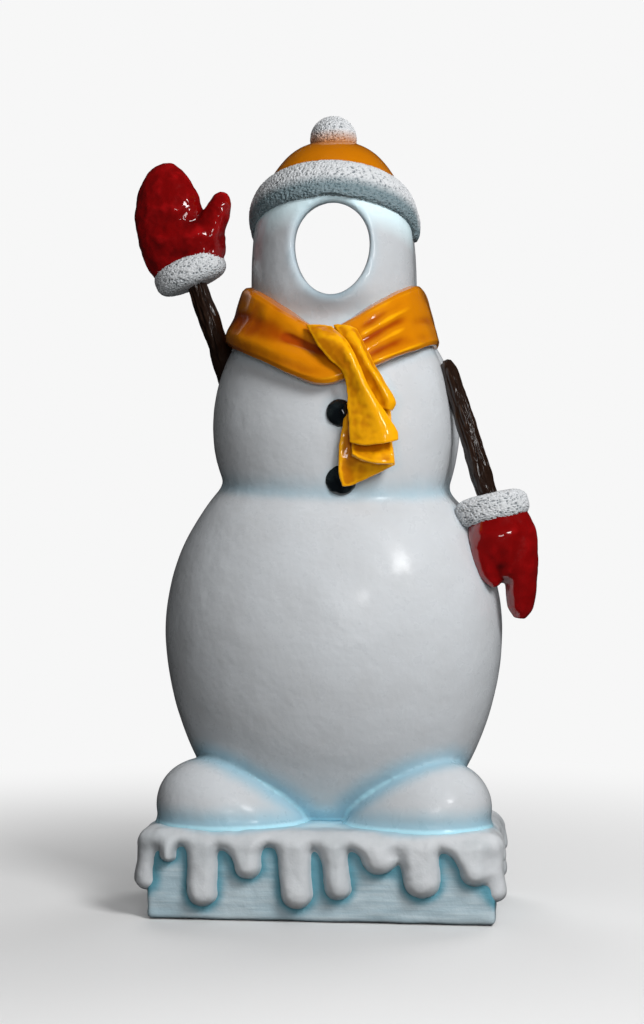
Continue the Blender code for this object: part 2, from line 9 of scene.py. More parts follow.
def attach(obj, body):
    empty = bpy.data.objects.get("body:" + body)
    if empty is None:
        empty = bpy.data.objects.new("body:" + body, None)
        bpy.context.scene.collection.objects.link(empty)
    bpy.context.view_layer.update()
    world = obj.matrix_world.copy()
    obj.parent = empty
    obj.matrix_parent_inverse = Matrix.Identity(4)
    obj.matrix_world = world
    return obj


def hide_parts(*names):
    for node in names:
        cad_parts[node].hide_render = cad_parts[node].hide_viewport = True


# A moulded snowman with a face hole, on an ice block with a dripping snow cap.
# Metres, +Z up. The figure faces -Y, and the origin is on the floor below it.

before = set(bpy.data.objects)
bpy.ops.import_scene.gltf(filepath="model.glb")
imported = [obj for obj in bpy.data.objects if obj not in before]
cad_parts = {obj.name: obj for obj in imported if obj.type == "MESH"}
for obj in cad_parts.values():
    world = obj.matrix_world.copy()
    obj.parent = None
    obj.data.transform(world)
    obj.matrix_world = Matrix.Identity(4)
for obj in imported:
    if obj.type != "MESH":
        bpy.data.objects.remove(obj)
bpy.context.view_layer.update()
print("frame loaded")


# Picking, starting and finishing pieces

def deselect():
    bpy.ops.object.select_all(action="DESELECT")


def makeActive(piece):
    deselect()
    bpy.context.view_layer.objects.active = piece
    piece.select_set(True)


def named(name):
    piece = bpy.context.active_object
    piece.name = piece.data.name = name
    return piece


def getPoints(piece):
    flat = np.empty(len(piece.data.vertices) * 3, np.float32)
    piece.data.vertices.foreach_get("co", flat)
    return flat.reshape(-1, 3).astype(float)


def setPoints(piece, points):
    piece.data.vertices.foreach_set("co", points.astype(np.float32).ravel())
    piece.data.update()


def addBall(name, segments, rings):
    deselect()
    bpy.ops.mesh.primitive_uv_sphere_add(segments=segments, ring_count=rings, radius=1)
    return named(name)


def ballPlaces(points):  # turn from the front towards +X, and share of the way down from the top pole
    turn = np.arctan2(points[:, 0], -points[:, 1])
    return turn, np.arccos(np.clip(points[:, 2], -1, 1)) / math.pi


def addRing(name, sides, tubeSides, cuts):
    deselect()
    bpy.ops.mesh.primitive_torus_add(major_segments=sides, minor_segments=tubeSides,
                                     major_radius=1, minor_radius=0.3)
    ring = named(name)
    bpy.ops.object.mode_set(mode="EDIT")
    bpy.ops.mesh.select_all(action="SELECT")
    bpy.ops.mesh.subdivide(number_cuts=cuts)
    bpy.ops.object.mode_set(mode="OBJECT")
    return ring


def addTube(name, sides, cuts):  # a capped cylinder from z -0.5 to 0.5, cut into rings
    deselect()
    bpy.ops.mesh.primitive_cylinder_add(vertices=sides, radius=1, depth=1, end_fill_type="NGON")
    tube = named(name)
    bpy.ops.object.mode_set(mode="EDIT")
    bpy.ops.mesh.select_mode(type="EDGE")
    bpy.ops.mesh.select_all(action="DESELECT")
    bpy.ops.object.mode_set(mode="OBJECT")
    points = tube.data.vertices
    for edge in tube.data.edges:
        edge.select = abs(points[edge.vertices[0]].co.z - points[edge.vertices[1]].co.z) > 0.5
    bpy.ops.object.mode_set(mode="EDIT")
    bpy.ops.mesh.subdivide(number_cuts=cuts)
    bpy.ops.object.mode_set(mode="OBJECT")
    return tube


def applyModifiers(piece):
    makeActive(piece)
    for modifier in list(piece.modifiers):
        bpy.ops.object.modifier_apply(modifier=modifier.name)


def joined(pieces, name):
    makeActive(pieces[0])
    for piece in pieces[1:]:
        piece.select_set(True)
    bpy.ops.object.join()
    return named(name)


def combined(piece, other, operation):
    combine = piece.modifiers.new("combine", "BOOLEAN")
    combine.operation = operation
    combine.solver = "EXACT"
    combine.object = other
    applyModifiers(piece)


def softened(piece, rounds):
    soften = piece.modifiers.new("soften", "SMOOTH")
    soften.factor = 0.5
    soften.iterations = rounds
    applyModifiers(piece)


def fused(piece, voxel, rounds):  # one even skin, with its corners softened
    skin = piece.modifiers.new("skin", "REMESH")
    skin.mode = "VOXEL"
    skin.voxel_size = voxel
    softened(piece, rounds)


def removed(*pieces):
    for piece in pieces:
        bpy.data.objects.remove(piece)


def getNormals(piece):
    flat = np.empty(len(piece.data.vertices) * 3, np.float32)
    piece.data.vertex_normals.foreach_get("vector", flat)
    return flat.reshape(-1, 3).astype(float)


def noiseAt(points, size, shift):  # one smooth value per point, about -1 to 1
    start = Vector((shift, shift * 1.7, shift * 0.6))
    return np.array([noise.noise(Vector(p) / size + start) for p in points])


def roughen(piece, size, amount, shift):  # lumps of one size, raised along the normals
    points = getPoints(piece)
    lumps = noiseAt(points, size, shift)
    setPoints(piece, points + getNormals(piece) * (lumps * amount)[:, None])


def facedOut(piece):
    makeActive(piece)
    bpy.ops.object.mode_set(mode="EDIT")
    bpy.ops.mesh.select_all(action="SELECT")
    bpy.ops.mesh.normals_make_consistent(inside=False)
    bpy.ops.object.mode_set(mode="OBJECT")


# Marks that the materials read

def writeMark(piece, name, values):
    mark = piece.data.attributes.new(name, "FLOAT", "POINT")
    mark.data.foreach_set("value", values.astype(np.float32))


def meetingMark(piece, neighbours, reach):  # 1 where a neighbour touches, 0 at the reach
    trees = []
    for other in neighbours:
        mesh = other.data
        trees.append(BVHTree.FromPolygons([v.co for v in mesh.vertices], [p.vertices for p in mesh.polygons]))
    values = []
    for point in getPoints(piece):
        near = reach
        for tree in trees:
            found = tree.find_nearest(Vector(point), near)
            if found[0] is not None:
                near = min(near, found[3])
        values.append(1 - near / reach)
    return np.array(values)


def averaged(piece, values, rounds):  # values spread along the edges
    ends = np.empty(len(piece.data.edges) * 2, np.int32)
    piece.data.edges.foreach_get("vertices", ends)
    a, b = ends.reshape(-1, 2).T
    count = len(values)
    links = np.maximum(np.bincount(a, minlength=count) + np.bincount(b, minlength=count), 1)
    for _ in range(rounds):
        total = np.bincount(a, values[b], count) + np.bincount(b, values[a], count)
        values = (values + total / links) / 2
    return values


def reliefMark(piece, rounds, depth):  # above 0 on ridges, below 0 in hollows
    points = getPoints(piece)
    soft = np.stack([averaged(piece, points[:, k], rounds) for k in range(3)], axis=1)
    rise = ((points - soft) * getNormals(piece)).sum(axis=1) / depth
    return np.clip(averaged(piece, rise, 2), -1, 1)


# Node groups

def newGroup(name, inputs, outputs):
    group = bpy.data.node_groups.new(name, "ShaderNodeTree")
    for label, kind, value in inputs:
        socket = group.interface.new_socket(label, in_out="INPUT", socket_type=kind)
        socket.default_value = value
    for label, kind in outputs:
        group.interface.new_socket(label, in_out="OUTPUT", socket_type=kind)
    return group, group.nodes.new("NodeGroupInput"), group.nodes.new("NodeGroupOutput")


def addNode(tree, kind, **values):
    node = tree.nodes.new(kind)
    for key, value in values.items():
        if key in node.inputs:
            node.inputs[key].default_value = value
        else:
            setattr(node, key, value)
    return node


def link(tree, source, target):
    tree.links.new(source, target)


def addNoise(tree, place, size, detail=3.0, roughness=0.5, stretch=(1, 1, 1)):
    mapping = addNode(tree, "ShaderNodeMapping")
    mapping.inputs["Scale"].default_value = stretch
    texture = addNode(tree, "ShaderNodeTexNoise")
    texture.inputs["Scale"].default_value = 1 / size
    texture.inputs["Detail"].default_value = detail
    texture.inputs["Roughness"].default_value = roughness
    link(tree, place, mapping.inputs["Vector"])
    link(tree, mapping.outputs["Vector"], texture.inputs["Vector"])
    return texture.outputs["Fac"]


def addMath(tree, operation, a, b):
    node = addNode(tree, "ShaderNodeMath", operation=operation)
    for socket, value in zip(node.inputs, (a, b)):
        if isinstance(value, (int, float)):
            socket.default_value = value
        else:
            link(tree, value, socket)
    return node.outputs[0]


def scaled(tree, value, factor):
    return addMath(tree, "MULTIPLY", value, factor)


def addRange(tree, value, low, high, newLow=0.0, newHigh=1.0):
    node = addNode(tree, "ShaderNodeMapRange", interpolation_type="SMOOTHSTEP")
    for label, number in (("From Min", low), ("From Max", high), ("To Min", newLow), ("To Max", newHigh)):
        node.inputs[label].default_value = number
    link(tree, value, node.inputs["Value"])
    return node.outputs["Result"]


def addMix(tree, factor, a, b):
    node = addNode(tree, "ShaderNodeMix", data_type="RGBA")
    for socket, value in ((node.inputs[0], factor), (node.inputs[6], a), (node.inputs[7], b)):
        if isinstance(value, (int, float)):
            socket.default_value = value
        elif isinstance(value, tuple):
            socket.default_value = (*value, 1)
        else:
            link(tree, value, socket)
    return node.outputs[2]


def buildHandSurface():  # the wavy, faintly pitted skin of a laminated and painted moulding
    group, given, result = newGroup(
        "hand laid surface",
        [("Wave Depth", "NodeSocketFloat", 0.5), ("Grain Depth", "NodeSocketFloat", 0.5),
         ("Grain Size", "NodeSocketFloat", 0.004)],
        [("Height", "NodeSocketFloat"), ("Tone", "NodeSocketFloat"), ("Wear", "NodeSocketFloat")])
    place = addNode(group, "ShaderNodeTexCoord").outputs["Object"]
    wave = addNoise(group, place, 0.055, 2.0)
    dent = addNoise(group, place, 0.018, 2.0)
    grain = addNode(group, "ShaderNodeTexNoise", Detail=2.0)
    link(group, place, grain.inputs["Vector"])
    link(group, addMath(group, "DIVIDE", 1.0, given.outputs["Grain Size"]), grain.inputs["Scale"])
    waves = scaled(group, addMath(group, "ADD", wave, scaled(group, dent, 0.3)), given.outputs["Wave Depth"])
    grains = scaled(group, grain.outputs["Fac"], given.outputs["Grain Depth"])
    link(group, addMath(group, "ADD", waves, grains), result.inputs["Height"])
    link(group, addNoise(group, place, 0.12, 4.0, 0.6), result.inputs["Tone"])
    link(group, addNoise(group, place, 0.030, 3.0, 0.5), result.inputs["Wear"])
    return group


def buildAirbrush():  # a sprayed tint that is strongest where pieces meet, with a soft uneven edge: painted shade in the creases, and on the snow also the statue's blue airbrushing
    group, given, result = newGroup(
        "airbrushed shade",
        [("Meeting", "NodeSocketFloat", 0.0), ("Start", "NodeSocketFloat", 0.3),
         ("Full", "NodeSocketFloat", 1.0), ("Unevenness", "NodeSocketFloat", 0.2)],
        [("Shade", "NodeSocketFloat"), ("Line", "NodeSocketFloat")])
    place = addNode(group, "ShaderNodeTexCoord").outputs["Object"]
    cloud = addMath(group, "SUBTRACT", addNoise(group, place, 0.05, 3.0), 0.5)
    uneven = scaled(group, cloud, given.outputs["Unevenness"])
    reach = addMath(group, "ADD", given.outputs["Meeting"], uneven)
    ramp = addNode(group, "ShaderNodeMapRange", interpolation_type="SMOOTHSTEP")
    link(group, reach, ramp.inputs["Value"])
    link(group, given.outputs["Start"], ramp.inputs["From Min"])
    link(group, given.outputs["Full"], ramp.inputs["From Max"])
    link(group, ramp.outputs["Result"], result.inputs["Shade"])
    link(group, addRange(group, given.outputs["Meeting"], 0.86, 0.95), result.inputs["Line"])
    return group


handSurface = buildHandSurface()
airbrushAndShade = buildAirbrush()


def newPaint(name, values):
    material = bpy.data.materials.new(name)
    material.use_nodes = True
    shader = material.node_tree.nodes["Principled BSDF"]
    for label, key in (("Coat Weight", "coat"), ("Coat Roughness", "coatRoughness"), ("Coat IOR", "coatIor"),
                       ("Specular IOR Level", "specular")):
        shader.inputs[label].default_value = values[key]
    return material, material.node_tree, shader


def addGroup(tree, group, values):
    node = tree.nodes.new("ShaderNodeGroup")
    node.node_tree = group
    for key, value in values.items():
        node.inputs[key].default_value = value
    return node


def addSurface(tree, waveDepth, grainDepth, grainSize):
    values = {"Wave Depth": waveDepth, "Grain Depth": grainDepth, "Grain Size": grainSize}
    return addGroup(tree, handSurface, values).outputs


def addSpray(tree, start, full, unevenness):
    spray = addGroup(tree, airbrushAndShade, {"Start": start, "Full": full, "Unevenness": unevenness})
    link(tree, readMark(tree, "meeting"), spray.inputs["Meeting"])
    return spray.outputs


def readMark(tree, name):
    return addNode(tree, "ShaderNodeAttribute", attribute_name=name).outputs["Fac"]


def blotchedRelief(tree, surface, amount):  # the piece's ridges and hollows, for painted highlight and shade, with the paint's blotches added
    blotches = scaled(tree, addMath(tree, "SUBTRACT", surface["Tone"], 0.5), amount)
    return addMath(tree, "ADD", readMark(tree, "relief"), blotches)


def addRoughness(tree, shader, wear, span):
    link(tree, addRange(tree, wear, 0.3, 0.7, *span), shader.inputs["Roughness"])


def addBump(tree, shader, height, depth):
    bump = addNode(tree, "ShaderNodeBump", Distance=depth)
    link(tree, height, bump.inputs["Height"])
    link(tree, bump.outputs["Normal"], shader.inputs["Normal"])


def wearPaint(piece, material, slotName, *nodes):
    piece.data.materials.clear()
    piece.data.materials.append(material)
    makeActive(piece)
    bpy.ops.object.shade_smooth()
    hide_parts(*nodes)
    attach(piece, "root")


# Paints. Roughness is a span, from unworn to worn, and the coat is the clear varnish.

snowPaint = {
    "white": (0.60, 0.625, 0.65),
    "warmPatch": (0.57, 0.59, 0.61),
    "blue": (0.28, 0.52, 0.64),  # sprayed into the creases: the statue's blue airbrushing, which also paints the shade there
    "pale": (0.50, 0.84, 0.96),  # a thin light-blue line where two pieces meet, made lighter as painted light against the crease's shade
    "paintedGreyShade": (0.24, 0.25, 0.265),  # painted shade: grey below the face hole and over the head
    "paintedPaleLight": (0.74, 0.92, 0.97),  # painted light in pale blue under the brim and between the feet, where shade falls
    "spray": 0.85,
    "grain": 0.03, "bump": 0.0022,
    "roughness": (0.25, 0.38), "specular": 0.5,
    "coat": 0.55, "coatRoughness": 0.12, "coatIor": 1.5,
}
capPaint = {
    **snowPaint,
    "white": (0.64, 0.66, 0.68),
    "warmPatch": (0.53, 0.56, 0.58),
    "grain": 0.25,
    "roughness": (0.31, 0.44),
    "coat": 0.3,
}


def makeSnowPaint(name, values):
    material, tree, shader = newPaint(name, values)
    surface = addSurface(tree, 1.0, values["grain"], 0.006)
    patches = addRange(tree, surface["Tone"], 0.35, 0.70)
    white = addMix(tree, patches, values["white"], values["warmPatch"])
    # painted shade in grey, then pale painted light
    white = addMix(tree, readMark(tree, "paintedGreyShade"), white, values["paintedGreyShade"])
    white = addMix(tree, readMark(tree, "paintedPaleLight"), white, values["paintedPaleLight"])
    # blue in the creases, airbrushing and painted shade, and the pale line's painted light
    spray = addSpray(tree, 0.12, 1.0, 0.22)
    sprayed = addMix(tree, scaled(tree, spray["Shade"], values["spray"]), white, values["blue"])
    lined = addMix(tree, scaled(tree, spray["Line"], values["spray"]), sprayed, values["pale"])
    link(tree, lined, shader.inputs["Base Color"])
    addRoughness(tree, shader, surface["Wear"], values["roughness"])
    addBump(tree, shader, surface["Height"], values["bump"])
    return material


icePaint = {
    "base": (0.42, 0.555, 0.62),
    "pale": (0.55, 0.66, 0.71),
    # painted shade, deep teal, below the snow's edge
    "deep": (0.12, 0.34, 0.43),
    "streakLength": 0.14, "streakHeight": 0.008, "streakDepth": 0.35,
    "bump": 0.003,
    "roughness": (0.28, 0.45), "specular": 0.5,
    "coat": 0.35, "coatRoughness": 0.15, "coatIor": 1.5,
}


def makeIcePaint(values):
    material, tree, shader = newPaint("ice block paint", values)
    place = addNode(tree, "ShaderNodeTexCoord").outputs["Object"]
    flatness = values["streakLength"] / values["streakHeight"]
    streaks = addNoise(tree, place, values["streakLength"], 5.0, 0.65, (1, 1, flatness))
    broad = addNoise(tree, place, 0.09, 3.0, 0.55, (0.7, 0.7, 2.5))
    brushed = addMath(tree, "ADD", scaled(tree, streaks, 0.6), scaled(tree, broad, 0.4))
    colour = addMix(tree, addRange(tree, brushed, 0.40, 0.62), values["base"], values["pale"])
    # painted shade below the drips
    spray = addSpray(tree, 0.30, 0.95, 0.35)
    link(tree, addMix(tree, spray["Shade"], colour, values["deep"]), shader.inputs["Base Color"])
    surface = addSurface(tree, 1.0, 0.2, 0.006)
    addRoughness(tree, shader, streaks, values["roughness"])
    height = addMath(tree, "ADD", surface["Height"], scaled(tree, streaks, values["streakDepth"]))
    addBump(tree, shader, height, values["bump"])
    return material


fleecePaint = {
    "white": (0.62, 0.635, 0.65),
    # painted shade in the gaps between the worms
    "hollowShade": (0.16, 0.18, 0.195),
    "teal": (0.12, 0.19, 0.215),  # painted shade in teal on the lower edges
    "amber": (0.50, 0.17, 0.01),  # the crown's paint, oversprayed on the pompom
    "lowerShade": 0.85,
    "fibre": 0.0022, "bump": 0.0012,
    "roughness": (0.70, 0.50), "specular": 0.5,
    "coat": 0.12, "coatRoughness": 0.3, "coatIor": 1.5,
}


def makeFleecePaint(values):
    material, tree, shader = newPaint("fleece paint", values)
    # painted shade in the hollows between the worms
    worms = addRange(tree, readMark(tree, "relief"), -0.85, 0.15)
    colour = addMix(tree, worms, values["hollowShade"], values["white"])
    # painted shade in teal on the lower parts
    colour = addMix(tree, scaled(tree, readMark(tree, "lowerShade"), values["lowerShade"]), colour, values["teal"])
    colour = addMix(tree, readMark(tree, "overspray"), colour, values["amber"])
    link(tree, colour, shader.inputs["Base Color"])
    place = addNode(tree, "ShaderNodeTexCoord").outputs["Object"]
    addRoughness(tree, shader, worms, values["roughness"])
    addBump(tree, shader, addNoise(tree, place, values["fibre"], 2.0), values["bump"])
    return material


scarfPaint = {
    "amber": (0.64, 0.205, 0.0006),
    # ridge: painted highlight on the ridges; fold: painted shade in the hollows and where pieces meet; both
    # with random blotches of the paint
    "ridge": (0.93, 0.41, 0.002),
    "fold": (0.34, 0.050, 0.0004),
    "blotches": 0.9, "bump": 0.0022,
    "roughness": (0.34, 0.48), "specular": 0.15,
    "coat": 1.0, "coatRoughness": 0.05, "coatIor": 1.75,
}
crownPaint = {
    **scarfPaint,
    "amber": (0.55, 0.165, 0.0006),
    "ridge": (0.62, 0.21, 0.001),
    "fold": (0.30, 0.055, 0.0005),
}


def makeAmberPaint(name, values):
    material, tree, shader = newPaint(name, values)
    surface = addSurface(tree, 1.0, 0.10, 0.006)
    relief = addMath(tree, "ADD", blotchedRelief(tree, surface, values["blotches"]), readMark(tree, "glow"))
    # painted shade in the hollows, painted highlight on the ridges, plus the glow mark's painted light and
    # shade
    low = addMix(tree, addRange(tree, relief, -0.95, 0.0), values["fold"], values["amber"])
    colour = addMix(tree, addRange(tree, relief, 0.05, 0.8), low, values["ridge"])
    # painted shade where other pieces lie close
    spray = addSpray(tree, 0.35, 1.15, 0.3)
    link(tree, addMix(tree, spray["Shade"], colour, values["fold"]), shader.inputs["Base Color"])
    addRoughness(tree, shader, surface["Wear"], values["roughness"])
    addBump(tree, shader, surface["Height"], values["bump"])
    return material


mittenPaint = {
    # painted highlight on the ridges and painted shade in the hollows, with random blotches of the paint
    "red": (0.19, 0.0012, 0.0015),
    "brightBlotchAndHighlight": (0.33, 0.003, 0.004),
    "darkBlotchAndShade": (0.07, 0.0005, 0.0008),
    "blotches": 1.2, "bump": 0.0035,
    "roughness": (0.32, 0.48), "specular": 0.1,
    "coat": 1.0, "coatRoughness": 0.04, "coatIor": 1.85,
}


def makeMittenPaint(values):
    material, tree, shader = newPaint("mitten paint", values)
    surface = addSurface(tree, 1.0, 0.06, 0.008)
    relief = blotchedRelief(tree, surface, values["blotches"])
    # painted shade in the hollows and painted highlight on the ridges, mixed with the paint's random blotches
    low = addMix(tree, addRange(tree, relief, -0.7, 0.1), values["darkBlotchAndShade"], values["red"])
    colour = addMix(tree, addRange(tree, relief, 0.1, 0.8), low, values["brightBlotchAndHighlight"])
    link(tree, colour, shader.inputs["Base Color"])
    addRoughness(tree, shader, surface["Wear"], values["roughness"])
    addBump(tree, shader, surface["Height"], values["bump"])
    return material


barkPaint = {
    "brown": (0.016, 0.0075, 0.0045),
    "ridge": (0.045, 0.024, 0.015),
    "groove": (0.003, 0.0015, 0.001),
    "bump": 0.0015,
    "roughness": (0.52, 0.32), "specular": 0.15,
    "coat": 0.6, "coatRoughness": 0.10, "coatIor": 1.6,
}


def makeBarkPaint(values):
    material, tree, shader = newPaint("bark paint", values)
    relief = readMark(tree, "relief")
    low = addMix(tree, addRange(tree, relief, -0.6, 0.0), values["groove"], values["brown"])
    surface = addSurface(tree, 0.5, 0.5, 0.003)
    worn = scaled(tree, addRange(tree, relief, 0.1, 0.9), addRange(tree, surface["Wear"], 0.4, 0.7))
    link(tree, addMix(tree, worn, low, values["ridge"]), shader.inputs["Base Color"])
    addRoughness(tree, shader, worn, values["roughness"])
    addBump(tree, shader, surface["Height"], values["bump"])
    return material


buttonPaint = {
    "black": (0.004, 0.006, 0.008),
    "worn": (0.014, 0.020, 0.022),
    "bump": 0.004,
    "roughness": (0.22, 0.38), "specular": 0.1,
    "coat": 1.0, "coatRoughness": 0.05, "coatIor": 1.7,
}


def makeButtonPaint(values):
    material, tree, shader = newPaint("button paint", values)
    surface = addSurface(tree, 1.4, 0.15, 0.006)
    colour = addMix(tree, addRange(tree, surface["Wear"], 0.35, 0.7), values["black"], values["worn"])
    link(tree, colour, shader.inputs["Base Color"])
    addRoughness(tree, shader, surface["Wear"], values["roughness"])
    addBump(tree, shader, surface["Height"], values["bump"])
    return material


bodyMaterial = makeSnowPaint("snow paint", snowPaint)
capMaterial = makeSnowPaint("snow cap paint", capPaint)
iceMaterial = makeIcePaint(icePaint)
fleeceMaterial = makeFleecePaint(fleecePaint)
scarfMaterial = makeAmberPaint("scarf paint", scarfPaint)
crownMaterial = makeAmberPaint("crown paint", crownPaint)
mittenMaterial = makeMittenPaint(mittenPaint)
barkMaterial = makeBarkPaint(barkPaint)
buttonMaterial = makeButtonPaint(buttonPaint)
print("materials built")


# The figure's outline

figureForm = {
    "belly": dict(centre=0.635, up=0.445, down=0.540, width=0.397, depth=0.272,
                  powerDown=1.85, powerUp=2.0, root=2.0, frontDown=0.460),
    "chest": dict(centre=1.115, up=0.335, down=0.327, width=0.284, depth=0.208,
                  powerDown=2.0, powerUp=2.0, root=2.0, frontDown=0.327),
    "head": dict(centre=1.450, up=0.339, down=0.190, width=0.193, depth=0.168,
                 powerDown=2.0, powerUp=2.4, root=2.4, frontDown=0.190),
    "creaseFillet": 0.024,
    "flatBack": 0.13,
    "waist": dict(z=0.972, sag=0.018, tilt=0.030, reach=0.050),
    "low": 0.2010,
    "high": 1.789,
    "slabLedge": 0.012,
    "voxel": 0.0062,
}
balls = [figureForm[key] for key in ("belly", "chest", "head")]


def swell(ball, z, downKey):
    above = z >= ball["centre"]
    reach = np.where(above, ball["up"], ball[downKey])
    power = np.where(above, ball["powerUp"], ball["powerDown"])
    t = np.minimum(np.abs(z - ball["centre"]) / reach, 1)
    return (1 - t ** power) ** (1 / ball["root"])


def filleted(values):  # the largest, with a fillet where two are close
    ordered = np.sort(np.stack(values), axis=0)
    reach = figureForm["creaseFillet"]
    near = np.maximum(reach - (ordered[-1] - ordered[-2]), 0) / reach
    return ordered[-1] + near * near * reach / 4


def halfWidth(z):
    return filleted([ball["width"] * swell(ball, z, "down") for ball in balls])


def frontDepth(z):
    return filleted([ball["depth"] * swell(ball, z, "frontDown") for ball in balls])


def frontY(x, z):
    share = np.minimum(np.abs(x) / halfWidth(z), 0.999)
    return -frontDepth(z) * np.sqrt(1 - share * share)


def outlinePoint(turn, z):  # a point of the figure's skin at a turn from the front
    wide, front = halfWidth(z), frontDepth(z)
    top = np.maximum(z - figureForm["head"]["centre"], 0) / figureForm["head"]["up"]
    back = figureForm["flatBack"] * np.sqrt(np.maximum(1 - np.minimum(top, 1) ** 4, 0))
    slab = wide + figureForm["slabLedge"] * swell(figureForm["chest"], z, "down") ** 2
    corner = np.minimum(0.38 * back, 0.9 * slab)
    across = [wide, 0.985 * wide, slab]
    behind = [0 * back, 0.15 * back, 0.40 * back]
    for step in range(7):
        angle = math.pi / 2 * step / 6
        across.append(slab - corner + corner * math.cos(angle))
        behind.append(back - corner + corner * math.sin(angle))
    across += [(slab - corner) / 2, 0 * slab]
    behind += [back, back]
    across, behind = np.stack(across), np.stack(behind)
    spot = np.clip((np.abs(turn) / (math.pi / 2) - 1) * (len(across) - 1), 0, len(across) - 1.001)
    low = spot.astype(int)
    share = spot - low
    columns = np.arange(len(z))
    rearX = across[low, columns] * (1 - share) + across[low + 1, columns] * share
    rearY = behind[low, columns] * (1 - share) + behind[low + 1, columns] * share
    infront = np.abs(turn) <= math.pi / 2
    x = np.where(infront, wide * np.abs(np.sin(turn)), rearX) * np.sign(np.sin(turn) + 1e-12)
    y = np.where(infront, -front * np.cos(turn), rearY)
    waist = figureForm["waist"]
    near = np.exp(-(((z - waist["z"]) / waist["reach"]) ** 2))
    shift = -near * (waist["sag"] * np.maximum(-y / front, 0) + waist["tilt"] * x)
    return np.stack([x, y, z + shift], axis=1)


def addFigure(name, segments, rings):
    piece = addBall(name, segments, rings)
    points = getPoints(piece)
    turn, drop = ballPlaces(points)
    share = np.clip((drop * rings - 1) / (rings - 2), 0, 1)
    z = figureForm["high"] - (figureForm["high"] - figureForm["low"]) * share
    z = np.minimum(z, figureForm["high"] - 0.0008)  # a ring just below the top pole
    shaped = outlinePoint(turn, z)
    poles = np.abs(points[:, 2]) > 0.99999
    shaped[poles, :2] = 0
    shaped[poles, 2] = np.where(points[poles, 2] > 0, figureForm["high"], figureForm["low"])
    setPoints(piece, shaped)
    return piece


# The face hole

hole = {"x": 0.010, "z": 1.532, "halfWidth": 0.086, "up": 0.094, "down": 0.119, "lip": 0.017,
        "pocketGrowth": 0.042, "pocketRise": 0.030}
pocketSteps = ((0.0, -0.105), (0.6, -0.085), (1.0, -0.055), (1.0, 0.260))


def holeRing(angle, growth, rise=0.0):
    tall = np.where(np.sin(angle) > 0, hole["up"] + rise, hole["down"]) + growth
    x = hole["x"] + (hole["halfWidth"] + growth) * np.cos(angle)
    return x, hole["z"] + tall * np.sin(angle)


def addFaceCutter():
    piece = addTube("faceCutter", 128, 60)
    points = getPoints(piece)
    angle = np.arctan2(points[:, 1], points[:, 0])
    share = points[:, 2] + 0.5
    roll = np.clip((share - 0.15) / 0.45, 0, 1) * math.pi / 2
    growth = hole["lip"] * (1 - np.sin(roll))
    x, z = holeRing(angle, growth)
    edge = hole["x"] + hole["halfWidth"] * np.cos(angle)
    y = frontY(edge, z) + hole["lip"] * (1 - np.cos(roll)) - np.maximum(0.15 - share, 0) * 0.5
    steps = np.linspace(0, 1, len(pocketSteps) + 1)
    within = np.clip((share - 0.60) / 0.40, 0, 1)
    grow = np.interp(within, steps, [0.0] + [g for g, _ in pocketSteps])
    deep = np.interp(within, steps[1:], [p for _, p in pocketSteps])
    innerX, innerZ = holeRing(angle, hole["pocketGrowth"] * grow, hole["pocketRise"] * grow)
    first = np.clip(within / steps[1], 0, 1)
    innerY = np.where(within < steps[1], y * (1 - first) + pocketSteps[0][1] * first, deep)
    inner = within > 0
    x, y, z = np.where(inner, innerX, x), np.where(inner, innerY, y), np.where(inner, innerZ, z)
    setPoints(piece, np.stack([x, y, z], axis=1))
    facedOut(piece)
    return piece


hat = {"sideZ": 1.604, "bendY": 0.030, "slope": 0.420, "halfHeight": 0.047, "halfThickness": 0.021,
       "rise": 0.0055, "prismTop": 2.8, "worms": 0.0062, "wormDepth": 0.0042, "lowerShadeFade": 0.55}


def hatEdge(y):
    return hat["sideZ"] + hat["slope"] * np.maximum(hat["bendY"] - y, 0)


def addHatPrism(name, lift):
    deselect()
    bpy.ops.mesh.primitive_cube_add(size=1.2, location=(0, hat["bendY"], 2.2))
    piece = named(name)
    bpy.ops.object.transform_apply()
    bpy.ops.object.mode_set(mode="EDIT")
    bpy.ops.mesh.bisect(plane_co=(0, hat["bendY"], 0), plane_no=(0, 1, 0))
    bpy.ops.object.mode_set(mode="OBJECT")
    points = getPoints(piece)
    points[:, 2] = np.where(points[:, 2] < 2.2, hatEdge(points[:, 1]) + lift, hat["prismTop"])
    setPoints(piece, points)
    return piece


# Body and feet, one moulding

feet = {
    "left": dict(centre=(-0.222, -0.112, 0.216), radii=(0.182, 0.131, 0.116), dip=20, egg=0.16),
    "right": dict(centre=(0.204, -0.112, 0.216), radii=(0.176, 0.131, 0.116), dip=-20, egg=-0.16),
}


def makeFoot(side, values):
    foot = addBall("foot_" + side, 128, 96)
    points = getPoints(foot)
    points[:, 1:] *= (1 - values["egg"] * points[:, 0])[:, None]  # fuller at the outer end
    points *= np.array(values["radii"])
    turn = Matrix.Rotation(math.radians(values["dip"]), 3, "Y")
    points = points @ np.array(turn).T + np.array(values["centre"])
    points[:, 2] = np.maximum(points[:, 2], 0.196)
    setPoints(foot, points)
    return foot


bodySkin = {"hemTop": 0.026, "hemReach": 0.013, "frontOf": 0.10}  # the skin spreads out over the snow cap


